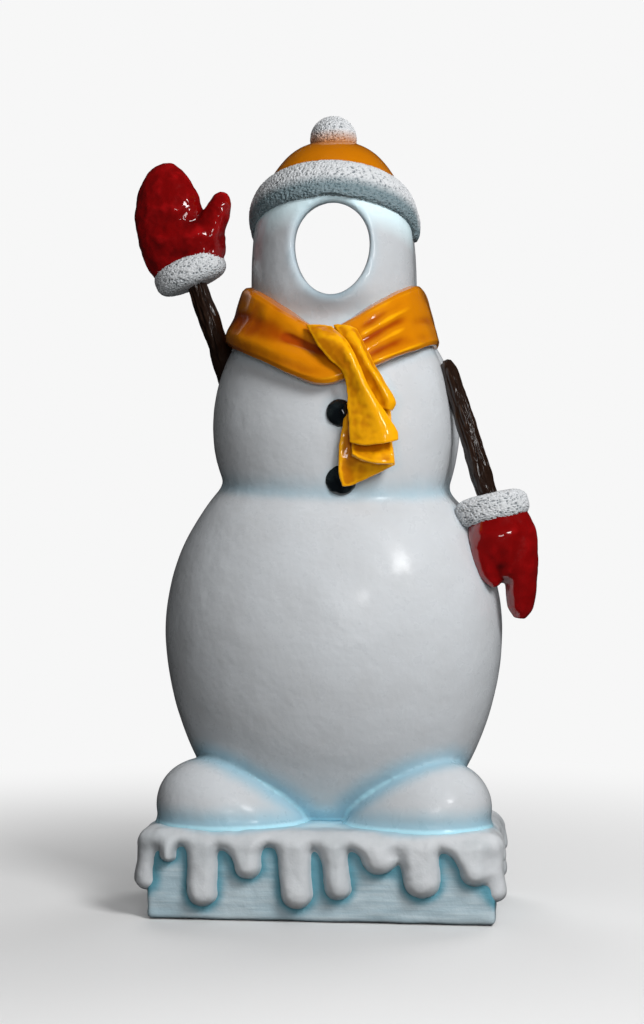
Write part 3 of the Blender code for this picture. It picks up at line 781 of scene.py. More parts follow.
def makeBody():
    body = addFigure("snow_body", 160, 180)
    above, cutter = addHatPrism("aboveHatEdge", 0), addFaceCutter()
    combined(body, above, "DIFFERENCE")
    combined(body, cutter, "DIFFERENCE")
    removed(above, cutter)
    body = joined([body] + [makeFoot(side, values) for side, values in feet.items()], "snow_body")
    fused(body, figureForm["voxel"], 8)
    points, normals = getPoints(body), getNormals(body)
    flat = normals[:, :2] / (np.linalg.norm(normals[:, :2], axis=1) + 1e-6)[:, None]
    near = np.clip(1 - (points[:, 2] - 0.200) / bodySkin["hemTop"], 0, 1)
    spread = bodySkin["hemReach"] * near ** 2 * (points[:, 1] < bodySkin["frontOf"])
    points[:, :2] += flat * spread[:, None]
    setPoints(body, points)
    roughen(body, 0.11, 0.0010, 3.1)
    roughen(body, 0.045, 0.0004, 8.4)
    return body


bodySpray = {  # reach and strength of the blue sprayed where pieces meet, the statue's airbrushing and painted shade in one
    "creaseReach": 0.075,
    "floorReach": 0.070,
    "piecesReach": 0.032, "pieces": 0.42,
    "waistAbove": 0.075, "waistBelow": 0.030, "waist": 0.62,
    "holeReach": 0.042, "hole": 0.528,
    "collarReach": 0.055, "collarFrom": 1.32, "collar": 0.55,
}
headShading = {  # painted shade in grey on the head and below the face hole, painted light in pale blue under the brim
    "from": 1.36, "fade": 0.06, "head": 0.22,
    "chinHalfWidth": 0.095, "chinLow": 1.34, "chinHigh": 1.47, "chin": 0.80,
    "browReach": 0.065, "brow": 0.9,
}
# Where pale painted light lifts the shade between the feet
betweenFeet = {"x": -0.005, "halfWidth": 0.075, "z": 0.20, "height": 0.05}


def waistCrease(points):
    waist = figureForm["waist"]
    front = np.maximum(-points[:, 1] / 0.2, 0)
    crease = waist["z"] - waist["sag"] * np.minimum(front, 1) - waist["tilt"] * points[:, 0]
    rise = points[:, 2] - crease
    above, below = 1 - rise / bodySpray["waistAbove"], 1 + rise / bodySpray["waistBelow"]
    return np.clip(np.where(rise > 0, above, below), 0, 1)


def holeShade(points):
    acrossHole, upHole = points[:, 0] - hole["x"], points[:, 2] - hole["z"]
    x, z = holeRing(np.arctan2(upHole, acrossHole), 0)
    away = np.hypot(acrossHole, upHole) - np.hypot(x - hole["x"], z - hole["z"])
    return np.where(points[:, 1] < 0, np.clip(1 - away / bodySpray["holeReach"], 0, 0.84), 0)


def markBody(body, nodes):
    points = getPoints(body)
    belly = meetingMark(body, [nodes["body"]], bodySpray["creaseReach"])
    toes = meetingMark(body, [nodes["foot_left"], nodes["foot_right"]], bodySpray["creaseReach"])
    floorLine = meetingMark(body, [nodes["snow_cap"]], bodySpray["floorReach"])
    pieces = meetingMark(body, [nodes[n] for n in ("scarf_tail_back", "cuff_lowered", "mitten_lowered",
                                                   "scarf_wrap", "button_lower", "button_upper")],
                         bodySpray["piecesReach"])
    collar = meetingMark(body, [nodes["scarf_wrap"]], bodySpray["collarReach"])
    collar = collar * np.where(points[:, 2] > bodySpray["collarFrom"], bodySpray["collar"], 0)
    # blue sprayed where pieces meet: airbrushing and painted shade
    shade = np.maximum.reduce([np.minimum(belly, toes), floorLine, pieces * bodySpray["pieces"],
                               waistCrease(points) * bodySpray["waist"],
                               holeShade(points) * bodySpray["hole"], collar])
    writeMark(body, "meeting", averaged(body, shade, 3))


# Paints grey shade on the head and below the face hole, and pale light under the brim
def markHead(body, nodes):
    points = getPoints(body)
    x, z, front = points[:, 0], points[:, 2], points[:, 1] < 0
    head = headShading["head"] * np.clip((z - headShading["from"]) / headShading["fade"], 0, 1)
    chin = headShading["chin"] * np.exp(-(((x - hole["x"]) / headShading["chinHalfWidth"]) ** 2))
    chin = chin * np.clip((z - headShading["chinLow"]) / 0.05, 0, 1)
    chin = chin * np.clip((headShading["chinHigh"] - z) / 0.06, 0, 1)
    writeMark(body, "paintedGreyShade", np.where(front, np.maximum(head, chin), head))
    brow = np.clip(meetingMark(body, [nodes["hat_brim"]], headShading["browReach"]) * 1.3, 0, 1)
    between = np.clip(1 - np.abs(x - betweenFeet["x"]) / betweenFeet["halfWidth"], 0, 1)
    between = between * np.clip(1 - (z - betweenFeet["z"]) / betweenFeet["height"], 0, 1)
    writeMark(body, "paintedPaleLight", averaged(body, np.maximum(brow * headShading["brow"], between) * front, 2))


body = makeBody()
markBody(body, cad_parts)
markHead(body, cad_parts)
wearPaint(body, bodyMaterial, "snow_white", "body", "foot_left", "foot_right")
print("body", len(body.data.polygons))


# Ice block

block = {"left": -0.398, "right": 0.386, "front": -0.250, "rear": 0.150, "height": 0.170, "edge": 0.012}


def makeBlock():
    deselect()
    centre = ((block["left"] + block["right"]) / 2, (block["front"] + block["rear"]) / 2, block["height"] / 2)
    bpy.ops.mesh.primitive_cube_add(size=1, location=centre)
    piece = named("ice_block_relief")
    piece.scale = (block["right"] - block["left"], block["rear"] - block["front"], block["height"])
    bpy.ops.object.transform_apply()
    bpy.ops.object.mode_set(mode="EDIT")
    bpy.ops.mesh.select_all(action="SELECT")
    bpy.ops.mesh.bevel(offset=block["edge"], segments=4, affect="EDGES")
    bpy.ops.object.mode_set(mode="OBJECT")
    fused(piece, 0.0042, 3)
    points = getPoints(piece)
    inward = np.minimum(0.0012 + 0.0022 * noiseAt(points * np.array([0.5, 0.5, 1.6]), 0.035, 2.2), 0.003)
    points -= getNormals(piece) * np.abs(inward)[:, None]
    points[:, 2] = np.maximum(points[:, 2], 0.0)
    setPoints(piece, points)
    return piece


# Snow cap

cap = {
    "top": 0.2045, "bandEdge": 0.176, "shoulder": 0.168, "shoulderInset": 0.044, "hem": 0.016,
    "edgeRound": 0.025, "blend": 0.034, "cornerRadius": 0.045, "middle": (0.0, -0.05),
    "overhang": ((-1.2, 0.016), (-0.75, 0.020), (-0.50, 0.027), (0.30, 0.027),
                 (0.39, 0.020), (0.50, 0.015), (1.2, 0.016)),  # place along the edge, reach
    "around": 720, "rings": 104, "frontShare": 0.58,  # steps round the edge, and the front's share of them
    "topShare": 0.16, "underShare": 0.965, "shoulderShare": 0.22,  # shares of the way down from the middle
}
# Along the edge from the front middle towards +X, at the tip: place, height, radius, and the same at the root
drips = (
    (-0.346, 0.131, 0.016, -0.345, 0.024), (-0.270, 0.032, 0.034, -0.270, 0.032),
    (-0.167, 0.096, 0.030, -0.180, 0.048), (-0.057, 0.031, 0.035, -0.066, 0.036),
    (0.036, 0.052, 0.029, 0.022, 0.026), (0.127, 0.111, 0.037, 0.110, 0.048),
    (0.222, 0.060, 0.040, 0.216, 0.040), (0.338, 0.090, 0.031, 0.316, 0.050),
)
sideDrips = {  # place along the side, tip height, tip radius, root radius
    "left": ((-0.222, 0.060, 0.029, 0.031), (-0.115, 0.112, 0.024, 0.030), (-0.005, 0.045, 0.030, 0.033),
             (0.095, 0.090, 0.027, 0.030)),
    "right": ((-0.222, 0.048, 0.026, 0.030), (-0.120, 0.112, 0.022, 0.032), (-0.010, 0.060, 0.024, 0.028),
              (0.090, 0.105, 0.022, 0.030)),
    "rear": ((0.290, 0.090, 0.029, 0.033), (0.150, 0.055, 0.032, 0.034), (0.035, 0.098, 0.028, 0.036),
             (-0.085, 0.042, 0.031, 0.033), (-0.190, 0.112, 0.026, 0.034), (-0.310, 0.070, 0.030, 0.034)),
}
dripRoot = 0.190  # height that the root radius holds for


def capEdge():  # the block's outline from its front middle, with outward directions and lengths
    radius = cap["cornerRadius"]
    corners = ((block["right"], block["front"], -90), (block["right"], block["rear"], 0),
               (block["left"], block["rear"], 90), (block["left"], block["front"], 180))
    points, outward = [(0.0, block["front"])], [(0.0, -1.0)]
    for x, y, start in corners:
        middle = (x - math.copysign(radius, x), y - math.copysign(radius, y))
        for step in range(13):
            angle = math.radians(start + 90 * step / 12)
            points.append((middle[0] + radius * math.cos(angle), middle[1] + radius * math.sin(angle)))
            outward.append((math.cos(angle), math.sin(angle)))
    points.append(points[0])
    outward.append(outward[0])
    points, outward = np.array(points), np.array(outward)
    length = np.concatenate([[0], np.cumsum(np.linalg.norm(np.diff(points, axis=0), axis=1))])
    return points, outward, length


edgePoints, edgeOutward, edgeLength = capEdge()
edgeTotal = edgeLength[-1]


def placeOnSide(side, value):  # length along the edge of a place on a side
    across, along = (1, 0) if side == "rear" else (0, 1)
    onSide = np.abs(edgePoints[:, across] - block[side]) < 1e-6
    i = [k for k in range(len(edgePoints) - 1) if onSide[k] and onSide[k + 1]][-1]
    start, end = edgePoints[i][along], edgePoints[i + 1][along]
    return edgeLength[i] + (value - start) / (end - start) * (edgeLength[i + 1] - edgeLength[i])


def everyDrip():  # place, height and radius at the tip, place and radius at the root
    found = list(drips)
    for side, group in sideDrips.items():
        for value, tip, radius, rootRadius in group:
            place = placeOnSide(side, value)
            found.append((place, tip, radius, place, rootRadius))
    return found


def snowDepth(place, z):  # how far inside the snow's outline a spot of the block's side lies
    inside = z - cap["bandEdge"] + 0.004 * np.sin(place * 31) * np.cos(place * 17)
    bulge = np.zeros_like(z)
    for tipPlace, tip, radius, rootPlace, rootRadius in everyDrip():
        low = tip + radius
        t = np.clip((z - low) / (dripRoot - low), 0, 1)
        line = tipPlace + (rootPlace - tipPlace) * t
        side = (place - line + edgeTotal / 2) % edgeTotal - edgeTotal / 2
        down = np.minimum(z - low, 0)
        width = radius + (rootRadius - radius) * t ** 1.5
        depth = width - np.hypot(side, down)
        depth = depth * np.maximum(1, cap["edgeRound"] * 1.1 / width)  # narrow drips round off too
        blend = min(cap["blend"], radius * 1.15)
        near = np.clip(0.5 + 0.5 * (inside - depth) / blend, 0, 1)
        inside = depth + (inside - depth) * near + blend * near * (1 - near)
        bulge = np.maximum(bulge, np.exp(-(((z - low) / 0.030) ** 2) - (side / radius) ** 2))
    return inside, bulge


def makeCap():
    piece = addBall("snow_cap_relief", cap["around"], cap["rings"])
    turn, drop = ballPlaces(getPoints(piece))
    half, front = cap["frontShare"] / 2, 0.405 / edgeTotal
    place = edgeTotal * np.interp(turn / (2 * math.pi), (-0.5, -half, half, 0.5), (-0.5, -front, front, 0.5))
    along = place % edgeTotal
    base = np.stack([np.interp(along, edgeLength, edgePoints[:, k]) for k in range(2)], axis=1)
    out = np.stack([np.interp(along, edgeLength, edgeOutward[:, k]) for k in range(2)], axis=1)
    out /= np.linalg.norm(out, axis=1)[:, None]
    flat, low, bend = cap["topShare"], cap["underShare"], cap["shoulderShare"]
    down = np.clip((drop - flat) / (low - flat), 0, 1)
    lift = np.clip(1 - down / bend, 0, 1)
    height = cap["top"] - cap["shoulder"]
    z = np.where(down < bend, cap["shoulder"] + height * np.sin(lift * math.pi / 2),
                 cap["shoulder"] - (cap["shoulder"] - cap["hem"]) * (down - bend) / (1 - bend))
    high = np.clip((z - cap["shoulder"]) / height, 0, 1)
    inset = cap["shoulderInset"] * (1 - np.sqrt(1 - high ** 2))
    inside, bulge = snowDepth(place, z)
    reach = np.interp(place, *np.array(cap["overhang"]).T) + 0.008 * bulge
    rounding = np.clip(inside / cap["edgeRound"], 0, 1)
    stand = reach * np.sqrt(1 - (1 - rounding) ** 2) + np.minimum(inside, 0) * 1.5
    side = base + out * (np.maximum(stand, -0.006) - inset)[:, None]
    middle = np.array(cap["middle"])
    share = np.where(drop > low, 1 - (drop - low) / (1 - low), np.clip(drop / flat, 0, 1))
    flatPlace = middle + (side - middle) * share[:, None]
    z = np.where(drop < flat, cap["top"], np.where(drop > low, cap["hem"] + 0.05 * (1 - share), z))
    setPoints(piece, np.concatenate([flatPlace, z[:, None]], axis=1))
    softened(piece, 3)
    roughen(piece, 0.040, 0.0022, 1.3)
    roughen(piece, 0.016, 0.0007, 6.3)
    return piece


def besideDrips(points, reach):  # 1 under the snow, 0 at the reach below its edge
    best = np.full(len(points), np.inf)
    place = np.zeros(len(points))
    for i in range(len(edgePoints) - 1):
        a, way = edgePoints[i], edgePoints[i + 1] - edgePoints[i]
        t = np.clip(((points[:, :2] - a) @ way) / (way @ way), 0, 1)
        away = np.linalg.norm(points[:, :2] - a - t[:, None] * way, axis=1)
        place = np.where(away < best, edgeLength[i] + t * np.linalg.norm(way), place)
        best = np.minimum(away, best)
    place = np.where(place > edgeTotal / 2, place - edgeTotal, place)
    inside, _ = snowDepth(place, points[:, 2])
    return np.where(best < 0.02, np.clip(1 + inside / reach, 0, 1), 0)


iceBlock = makeBlock()
snowCap = makeCap()
carried = [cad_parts[n] for n in ("foot_left", "foot_right", "body")]
# blue sprayed where the feet and body stand on the cap: airbrushing and painted shade
writeMark(snowCap, "meeting", averaged(snowCap, meetingMark(snowCap, carried, 0.042), 2))
# Pale painted light on the cap between the feet, where shade falls
capPoints = getPoints(snowCap)
between = np.clip(1.6 - np.abs(capPoints[:, 0] - betweenFeet["x"]) / betweenFeet["halfWidth"], 0, 1)
between = between * np.clip((capPoints[:, 1] + 0.215) / 0.04, 0, 1)
writeMark(snowCap, "paintedPaleLight", between * (capPoints[:, 2] > 0.19) * 0.9)
wearPaint(snowCap, capMaterial, "snow_white", "snow_cap")
# painted shade in deep teal on the block below the snow's drips
writeMark(iceBlock, "meeting", averaged(iceBlock, besideDrips(getPoints(iceBlock), 0.034), 3))
wearPaint(iceBlock, iceMaterial, "ice_blue", "ice_block")
print("base", len(snowCap.data.polygons), len(iceBlock.data.polygons))


# Hat

def wormHeight(points, size, shift):  # the tangled ridges of a fleece
    first = noiseAt(points, size, shift)
    second = noiseAt(points, size * 0.9, shift + 40)
    return np.maximum(1 - np.abs(first) * 3.6, 1 - np.abs(second) * 3.6).clip(0, 1) ** 0.8


def makeFleecy(piece, shift):
    points = getPoints(piece)
    worms = wormHeight(points, hat["worms"], shift)
    setPoints(piece, points + getNormals(piece) * ((worms - 0.45) * hat["wormDepth"])[:, None])
    writeMark(piece, "relief", averaged(piece, worms * 1.6 - 0.9, 1).clip(-1, 1))


def hatLine(share):  # points of the hat's edge and their outward directions
    turn = share * 2 * math.pi
    z = np.full(len(share), hat["sideZ"])
    for _ in range(8):
        points = outlinePoint(turn, z)
        z = hatEdge(points[:, 1])
    ahead, behind = outlinePoint(turn + 0.02, z), outlinePoint(turn - 0.02, z)
    along = ahead - behind
    outward = np.stack([along[:, 1], -along[:, 0], 0 * z], axis=1)
    outward /= np.linalg.norm(outward, axis=1)[:, None]
    return np.stack([points[:, 0], points[:, 1], z], axis=1), outward


def makeBrim():
    piece = addRing("hat_brim_fleece", 204, 51, 2)
    points = getPoints(piece)
    turn = np.arctan2(points[:, 0], -points[:, 1])
    ring = np.hypot(points[:, 0], points[:, 1])
    angle = np.arctan2(points[:, 2], ring - 1)
    angle -= 0.19 * np.sin(2 * angle)  # even spacing round the oval
    turn = np.where(turn > math.pi - 1e-4, -math.pi, turn)
    line, outward = hatLine(turn / (2 * math.pi))
    lean = (halfWidth(line[:, 2] + 0.04) - halfWidth(line[:, 2] - 0.04)) / 0.08
    up = outward * lean[:, None] + np.array([0, 0, 1.0])
    up /= np.linalg.norm(up, axis=1)[:, None]
    out = hat["halfThickness"] * np.sign(np.cos(angle)) * np.abs(np.cos(angle)) ** 0.85
    rise = hat["halfHeight"] * np.sign(np.sin(angle)) * np.abs(np.sin(angle)) ** 0.85
    out *= 1 - 0.35 * np.clip(-rise / hat["halfHeight"], 0, 1)
    shaped = line + outward * out[:, None] + up * (rise + hat["rise"])[:, None]
    setPoints(piece, shaped)
    facedOut(piece)
    cutter = addFaceCutter()
    combined(piece, cutter, "DIFFERENCE")
    removed(cutter)
    return piece


crownForm = {"gap": 0.0007, "voxel": 0.0036, "lumpSize": 0.05, "lumps": 0.0008, "creaseReach": 0.030}
pompomForm = {"radius": 0.0535, "centre": (0.0, 0.010, 1.795), "oversprayTop": 1.812, "oversprayFade": 0.034}

crown = addFigure("hat_crown_shell", 160, 200)
prism, cutter = addHatPrism("aboveHatEdge", crownForm["gap"]), addFaceCutter()
combined(crown, prism, "INTERSECT")
combined(crown, cutter, "DIFFERENCE")
removed(prism, cutter)
fused(crown, crownForm["voxel"], 8)
roughen(crown, crownForm["lumpSize"], crownForm["lumps"], 4.0)
writeMark(crown, "relief", reliefMark(crown, 30, 0.004))
around = [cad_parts["hat_brim"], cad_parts["hat_pompom"]]
# painted shade on the crown beside the brim and the pompom
writeMark(crown, "meeting", averaged(crown, meetingMark(crown, around, crownForm["creaseReach"]), 2))
wearPaint(crown, crownMaterial, "hat_orange", "hat_crown")

brim = makeBrim()
makeFleecy(brim, 11.0)
brimPoints = getPoints(brim)
# painted shade on the brim's lower part
below = (hatEdge(brimPoints[:, 1]) + hat["rise"] - brimPoints[:, 2]) / hat["halfHeight"]
writeMark(brim, "lowerShade", np.clip((below - 0.02) / hat["lowerShadeFade"], 0, 1))
wearPaint(brim, fleeceMaterial, "fleece_white", "hat_brim")

pompom = addBall("hat_pompom_fleece", 230, 150)
setPoints(pompom, getPoints(pompom) * pompomForm["radius"] + np.array(pompomForm["centre"]))
makeFleecy(pompom, 21.0)
below = pompomForm["oversprayTop"] - getPoints(pompom)[:, 2]
writeMark(pompom, "overspray", np.clip(below / pompomForm["oversprayFade"], 0, 0.92))
wearPaint(pompom, fleeceMaterial, "fleece_white", "hat_pompom")
print("hat", len(brim.data.polygons), len(pompom.data.polygons))


def ridgeLine(x, z, start, end, width):  # 1 along a line, fading to its sides and ends
    a, b = np.array(start), np.array(end)
    length = np.linalg.norm(b - a)
    along = (b - a) / length
    spot = np.stack([x, z], axis=1) - a
    t, away = spot @ along, spot @ np.array([-along[1], along[0]])
    ends = np.clip(t / (0.25 * length), 0, 1) * np.clip((length - t) / (0.35 * length), 0, 1)
    return ends * ends * (3 - 2 * ends) * np.exp(-((away / width) ** 2))


# Limbs: an oval limb through stations of point, half width and half depth

limbForm = {"steps": 200, "window": 26, "sideStep": 0.01}  # the stations' values are averaged over the window


def alongStations(stations, share):
    table = np.array([(*point, wide, deep) for point, wide, deep in stations])
    steps = np.concatenate([[0], np.cumsum(np.linalg.norm(np.diff(table[:, :3], axis=0), axis=1))])
    dense = np.linspace(0, steps[-1], limbForm["steps"])
    width = limbForm["window"]
    window = np.hanning(width + 2)[1:-1]
    window /= window.sum()
    values = []
    for column in table.T:
        padded = np.pad(np.interp(dense, steps, column), width, mode="reflect", reflect_type="odd")
        smooth = np.convolve(padded, window, "same")[width:-width]
        values.append(np.interp(share * steps[-1], dense, smooth))
    return np.stack(values, axis=1)


def addLimb(name, stations, segments, rings, roundEnd=0.0):
    piece = addBall(name, segments, rings)
    points = getPoints(piece)
    turn, drop = ballPlaces(points)
    share = np.clip((drop * rings - 1) / (rings - 2), 0, 1)
    values = alongStations(stations, share)
    ahead = alongStations(stations, np.clip(share + limbForm["sideStep"], 0, 1))[:, :3]
    ahead = ahead - alongStations(stations, np.clip(share - limbForm["sideStep"], 0, 1))[:, :3]
    sideways = np.stack([ahead[:, 2], 0 * ahead[:, 0], -ahead[:, 0]], axis=1)
    sideways /= np.linalg.norm(sideways, axis=1)[:, None]
    forwards = np.cross(sideways, ahead)
    forwards /= np.linalg.norm(forwards, axis=1)[:, None]
    size = np.where(np.abs(points[:, 2]) > 0.99999, 0, 1)
    if roundEnd:
        end = np.clip((1 - share) / roundEnd, 0, 1)
        size = size * np.sqrt(1 - (1 - end) ** 2)
    shaped = values[:, :3] + sideways * (values[:, 3] * np.sin(turn) * size)[:, None]
    shaped += forwards * (values[:, 4] * np.cos(turn) * size)[:, None]
    setPoints(piece, shaped)
    facedOut(piece)
    return piece


mittens = {
    "raised": dict(
        palm=(((-0.346, 0.030, 1.480), 0.076, 0.040), ((-0.352, 0.030, 1.500), 0.083, 0.042),
              ((-0.370, 0.028, 1.540), 0.090, 0.046), ((-0.388, 0.025, 1.585), 0.087, 0.048),
              ((-0.397, 0.022, 1.630), 0.083, 0.047), ((-0.401, 0.020, 1.675), 0.073, 0.043),
              ((-0.401, 0.020, 1.712), 0.056, 0.035), ((-0.399, 0.020, 1.738), 0.034, 0.024),
              ((-0.398, 0.020, 1.750), 0.012, 0.010)),
        thumb=(((-0.340, 0.026, 1.530), 0.050, 0.038), ((-0.305, 0.020, 1.580), 0.042, 0.035),
               ((-0.282, 0.015, 1.620), 0.033, 0.030), ((-0.270, 0.013, 1.650), 0.027, 0.025),
               ((-0.266, 0.012, 1.668), 0.019, 0.017), ((-0.264, 0.012, 1.676), 0.008, 0.007)),
        web=(((-0.335, 0.028, 1.500), 0.068, 0.043), ((-0.335, 0.026, 1.540), 0.074, 0.046),
             ((-0.333, 0.024, 1.575), 0.072, 0.045), ((-0.332, 0.022, 1.600), 0.058, 0.040),
             ((-0.332, 0.020, 1.618), 0.020, 0.020)),
        folds=(((-0.46, 1.590), (-0.25, 1.625), 0.022, -0.006),
               ((-0.45, 1.550), (-0.24, 1.592), 0.016, 0.004),
               ((-0.43, 1.520), (-0.26, 1.545), 0.012, -0.003)),
        lumps=0.0026, rounds=12),
    "lowered": dict(
        palm=(((0.386, -0.060, 0.922), 0.062, 0.040), ((0.390, -0.062, 0.900), 0.069, 0.043),
              ((0.399, -0.066, 0.860), 0.080, 0.047), ((0.404, -0.068, 0.825), 0.076, 0.047),
              ((0.408, -0.070, 0.795), 0.064, 0.044), ((0.412, -0.070, 0.770), 0.044, 0.038),
              ((0.414, -0.070, 0.755), 0.018, 0.020)),
        lobe=(((0.412, -0.064, 0.905), 0.030, 0.026), ((0.419, -0.067, 0.875), 0.045, 0.038),
              ((0.430, -0.069, 0.835), 0.050, 0.043),
              ((0.436, -0.070, 0.795), 0.045, 0.042), ((0.441, -0.070, 0.755), 0.037, 0.037),
              ((0.4405, -0.070, 0.720), 0.034, 0.033), ((0.439, -0.070, 0.692), 0.029, 0.028),
              ((0.437, -0.070, 0.671), 0.012, 0.012)),
        thumb=(((0.372, -0.072, 0.885), 0.040, 0.038), ((0.362, -0.080, 0.850), 0.041, 0.038),
               ((0.363, -0.086, 0.815), 0.038, 0.036), ((0.371, -0.088, 0.780), 0.031, 0.030),
               ((0.380, -0.088, 0.758), 0.022, 0.021), ((0.384, -0.088, 0.744), 0.009, 0.009)),
        web=(((0.386, -0.064, 0.900), 0.064, 0.046), ((0.388, -0.072, 0.862), 0.070, 0.052),
             ((0.390, -0.077, 0.825), 0.062, 0.050), ((0.396, -0.078, 0.797), 0.044, 0.042),
             ((0.399, -0.078, 0.778), 0.016, 0.018)),
        folds=(((0.396, 0.845), (0.400, 0.735), 0.014, -0.005),
               ((0.330, 0.855), (0.470, 0.872), 0.020, 0.003)),
        lumps=0.0013, rounds=24),
}
mittenForm = {"voxel": 0.0026, "lumpSize": 0.026, "dentSize": 0.011, "dents": 0.35, "reliefDepth": 0.003}


def makeMitten(name, values, shift):
    limbs = [key for key in ("palm", "thumb", "web", "lobe") if key in values]
    mitten = joined([addLimb(name + key, values[key], 96, 90) for key in limbs], name)
    fused(mitten, mittenForm["voxel"], values["rounds"])
    points, normals = getPoints(mitten), getNormals(mitten)
    for start, end, width, height in values["folds"]:
        fold = ridgeLine(points[:, 0], points[:, 2], start, end, width) * height
        points -= np.array([0, 1, 0]) * (fold * (normals[:, 1] < 0))[:, None]
    setPoints(mitten, points)
    roughen(mitten, mittenForm["lumpSize"], values["lumps"], shift)
    roughen(mitten, mittenForm["dentSize"], values["lumps"] * mittenForm["dents"], shift + 5)
    writeMark(mitten, "relief", reliefMark(mitten, 40, mittenForm["reliefDepth"]))
    return mitten


for side, shift in (("raised", 2.0), ("lowered", 7.0)):
    mitten = makeMitten("red_mitten_" + side, mittens[side], shift)
    wearPaint(mitten, mittenMaterial, "mitten_red", "mitten_" + side)
print("mittens")


cuffs = {
    "raised": dict(centre=(-0.346, 0.030, 1.487), tilt=-22, halfWidth=0.087),
    "lowered": dict(centre=(0.375, -0.056, 0.924), tilt=-13, halfWidth=0.084),
}
cuffForm = {"halfHeight": 0.034, "flatness": 0.72, "roundness": 0.42, "bulge": 0.75, "lowerShade": 0.45}

for side, values in cuffs.items():
    cuff = addBall("fleece_cuff_" + side, 240, 120)
    points = getPoints(cuff)
    turn, drop = ballPlaces(points)
    across = np.sin(drop * math.pi) ** cuffForm["roundness"] * values["halfWidth"]
    level = np.cos(drop * math.pi)
    shaped = np.stack([np.sin(turn) * across, -np.cos(turn) * across * cuffForm["flatness"],
                       np.sign(level) * np.abs(level) ** cuffForm["bulge"] * cuffForm["halfHeight"]], axis=1)
    turned = np.array(Matrix.Rotation(math.radians(values["tilt"]), 3, "Y"))
    setPoints(cuff, shaped @ turned.T + np.array(values["centre"]))
    makeFleecy(cuff, 31.0 + values["tilt"])
    # painted shade on the cuff's lower part
    below = ((np.array(values["centre"]) - getPoints(cuff)) @ turned)[:, 2] / cuffForm["halfHeight"]
    writeMark(cuff, "lowerShade", np.clip(below * cuffForm["lowerShade"] - 0.1, 0, 1))
    wearPaint(cuff, fleeceMaterial, "fleece_white", "cuff_" + side)
print("cuffs")


sticks = {
    "raised": (((-0.348, 0.030, 1.500), 0.026, 0.026), ((-0.327, 0.030, 1.447), 0.025, 0.025),
               ((-0.304, 0.030, 1.388), 0.026, 0.026), ((-0.280, 0.030, 1.322), 0.027, 0.026),
               ((-0.254, 0.030, 1.241), 0.029, 0.028), ((-0.232, 0.030, 1.170), 0.028, 0.028)),
    "lowered": (((0.3765, -0.055, 0.915), 0.026, 0.026), ((0.358, -0.052, 0.975), 0.026, 0.026),
                ((0.331, -0.045, 1.065), 0.0245, 0.0245), ((0.301, -0.038, 1.160), 0.0245, 0.023),
                ((0.276, -0.031, 1.240), 0.022, 0.020), ((0.265, -0.028, 1.272), 0.013, 0.013)),
}
bark = {  # grooves run along the stick, longer than wide
    "roundEnd": 0.035, "stretch": 0.12,
    "grooveSize": 0.011, "groove": -0.0030,
    "fineSize": 0.0045, "fine": -0.0010,
    "wobbleSize": 0.05, "wobble": 0.0022,
}


def makeStick(name, stations, shift):
    stick = addLimb(name, stations, 96, 200, bark["roundEnd"])
    points = getPoints(stick)
    start, end = Vector(stations[0][0]), Vector(stations[-1][0])
    along = (end - start).normalized()
    length = points @ np.array(along)
    cross = points - length[:, None] * np.array(along)
    stretched = cross + (length * bark["stretch"])[:, None] * np.array(along)
    grooves = 1 - np.abs(noiseAt(stretched, bark["grooveSize"], shift)) * 2.6
    fine = 1 - np.abs(noiseAt(stretched, bark["fineSize"], shift + 9)) * 2.4
    height = bark["groove"] * np.clip(grooves, 0, 1) + bark["fine"] * np.clip(fine, 0, 1)
    height = height + bark["wobble"] * noiseAt(points, bark["wobbleSize"], shift + 3)
    setPoints(stick, points + getNormals(stick) * height[:, None])
    writeMark(stick, "relief", reliefMark(stick, 14, 0.0012))
    return stick


for side, shift in (("raised", 3.0), ("lowered", 5.5)):
    stick = makeStick("bark_stick_" + side, sticks[side], shift)
    wearPaint(stick, barkMaterial, "bark_brown", "arm_" + side)
print("sticks")


# Buttons

buttons = {
    "button_upper": dict(x=0.036, z=1.139, radius=0.0315),
    "button_lower": dict(x=0.037, z=0.990, radius=0.0365),
}
buttonForm = {"halfThickness": 0.0155, "lumpSize": 0.014, "lumps": 0.0011}

for name, values in buttons.items():
    button = addBall("domed_" + name, 96, 64)
    y = float(frontY(np.array([values["x"]]), np.array([values["z"]]))[0])
    points = getPoints(button) * np.array([values["radius"], buttonForm["halfThickness"], values["radius"]])
    setPoints(button, points + np.array([values["x"], y, values["z"]]))
    roughen(button, buttonForm["lumpSize"], buttonForm["lumps"], values["z"] * 10)
    wearPaint(button, buttonMaterial, "button_black", name)
print("buttons")


# Scarf band

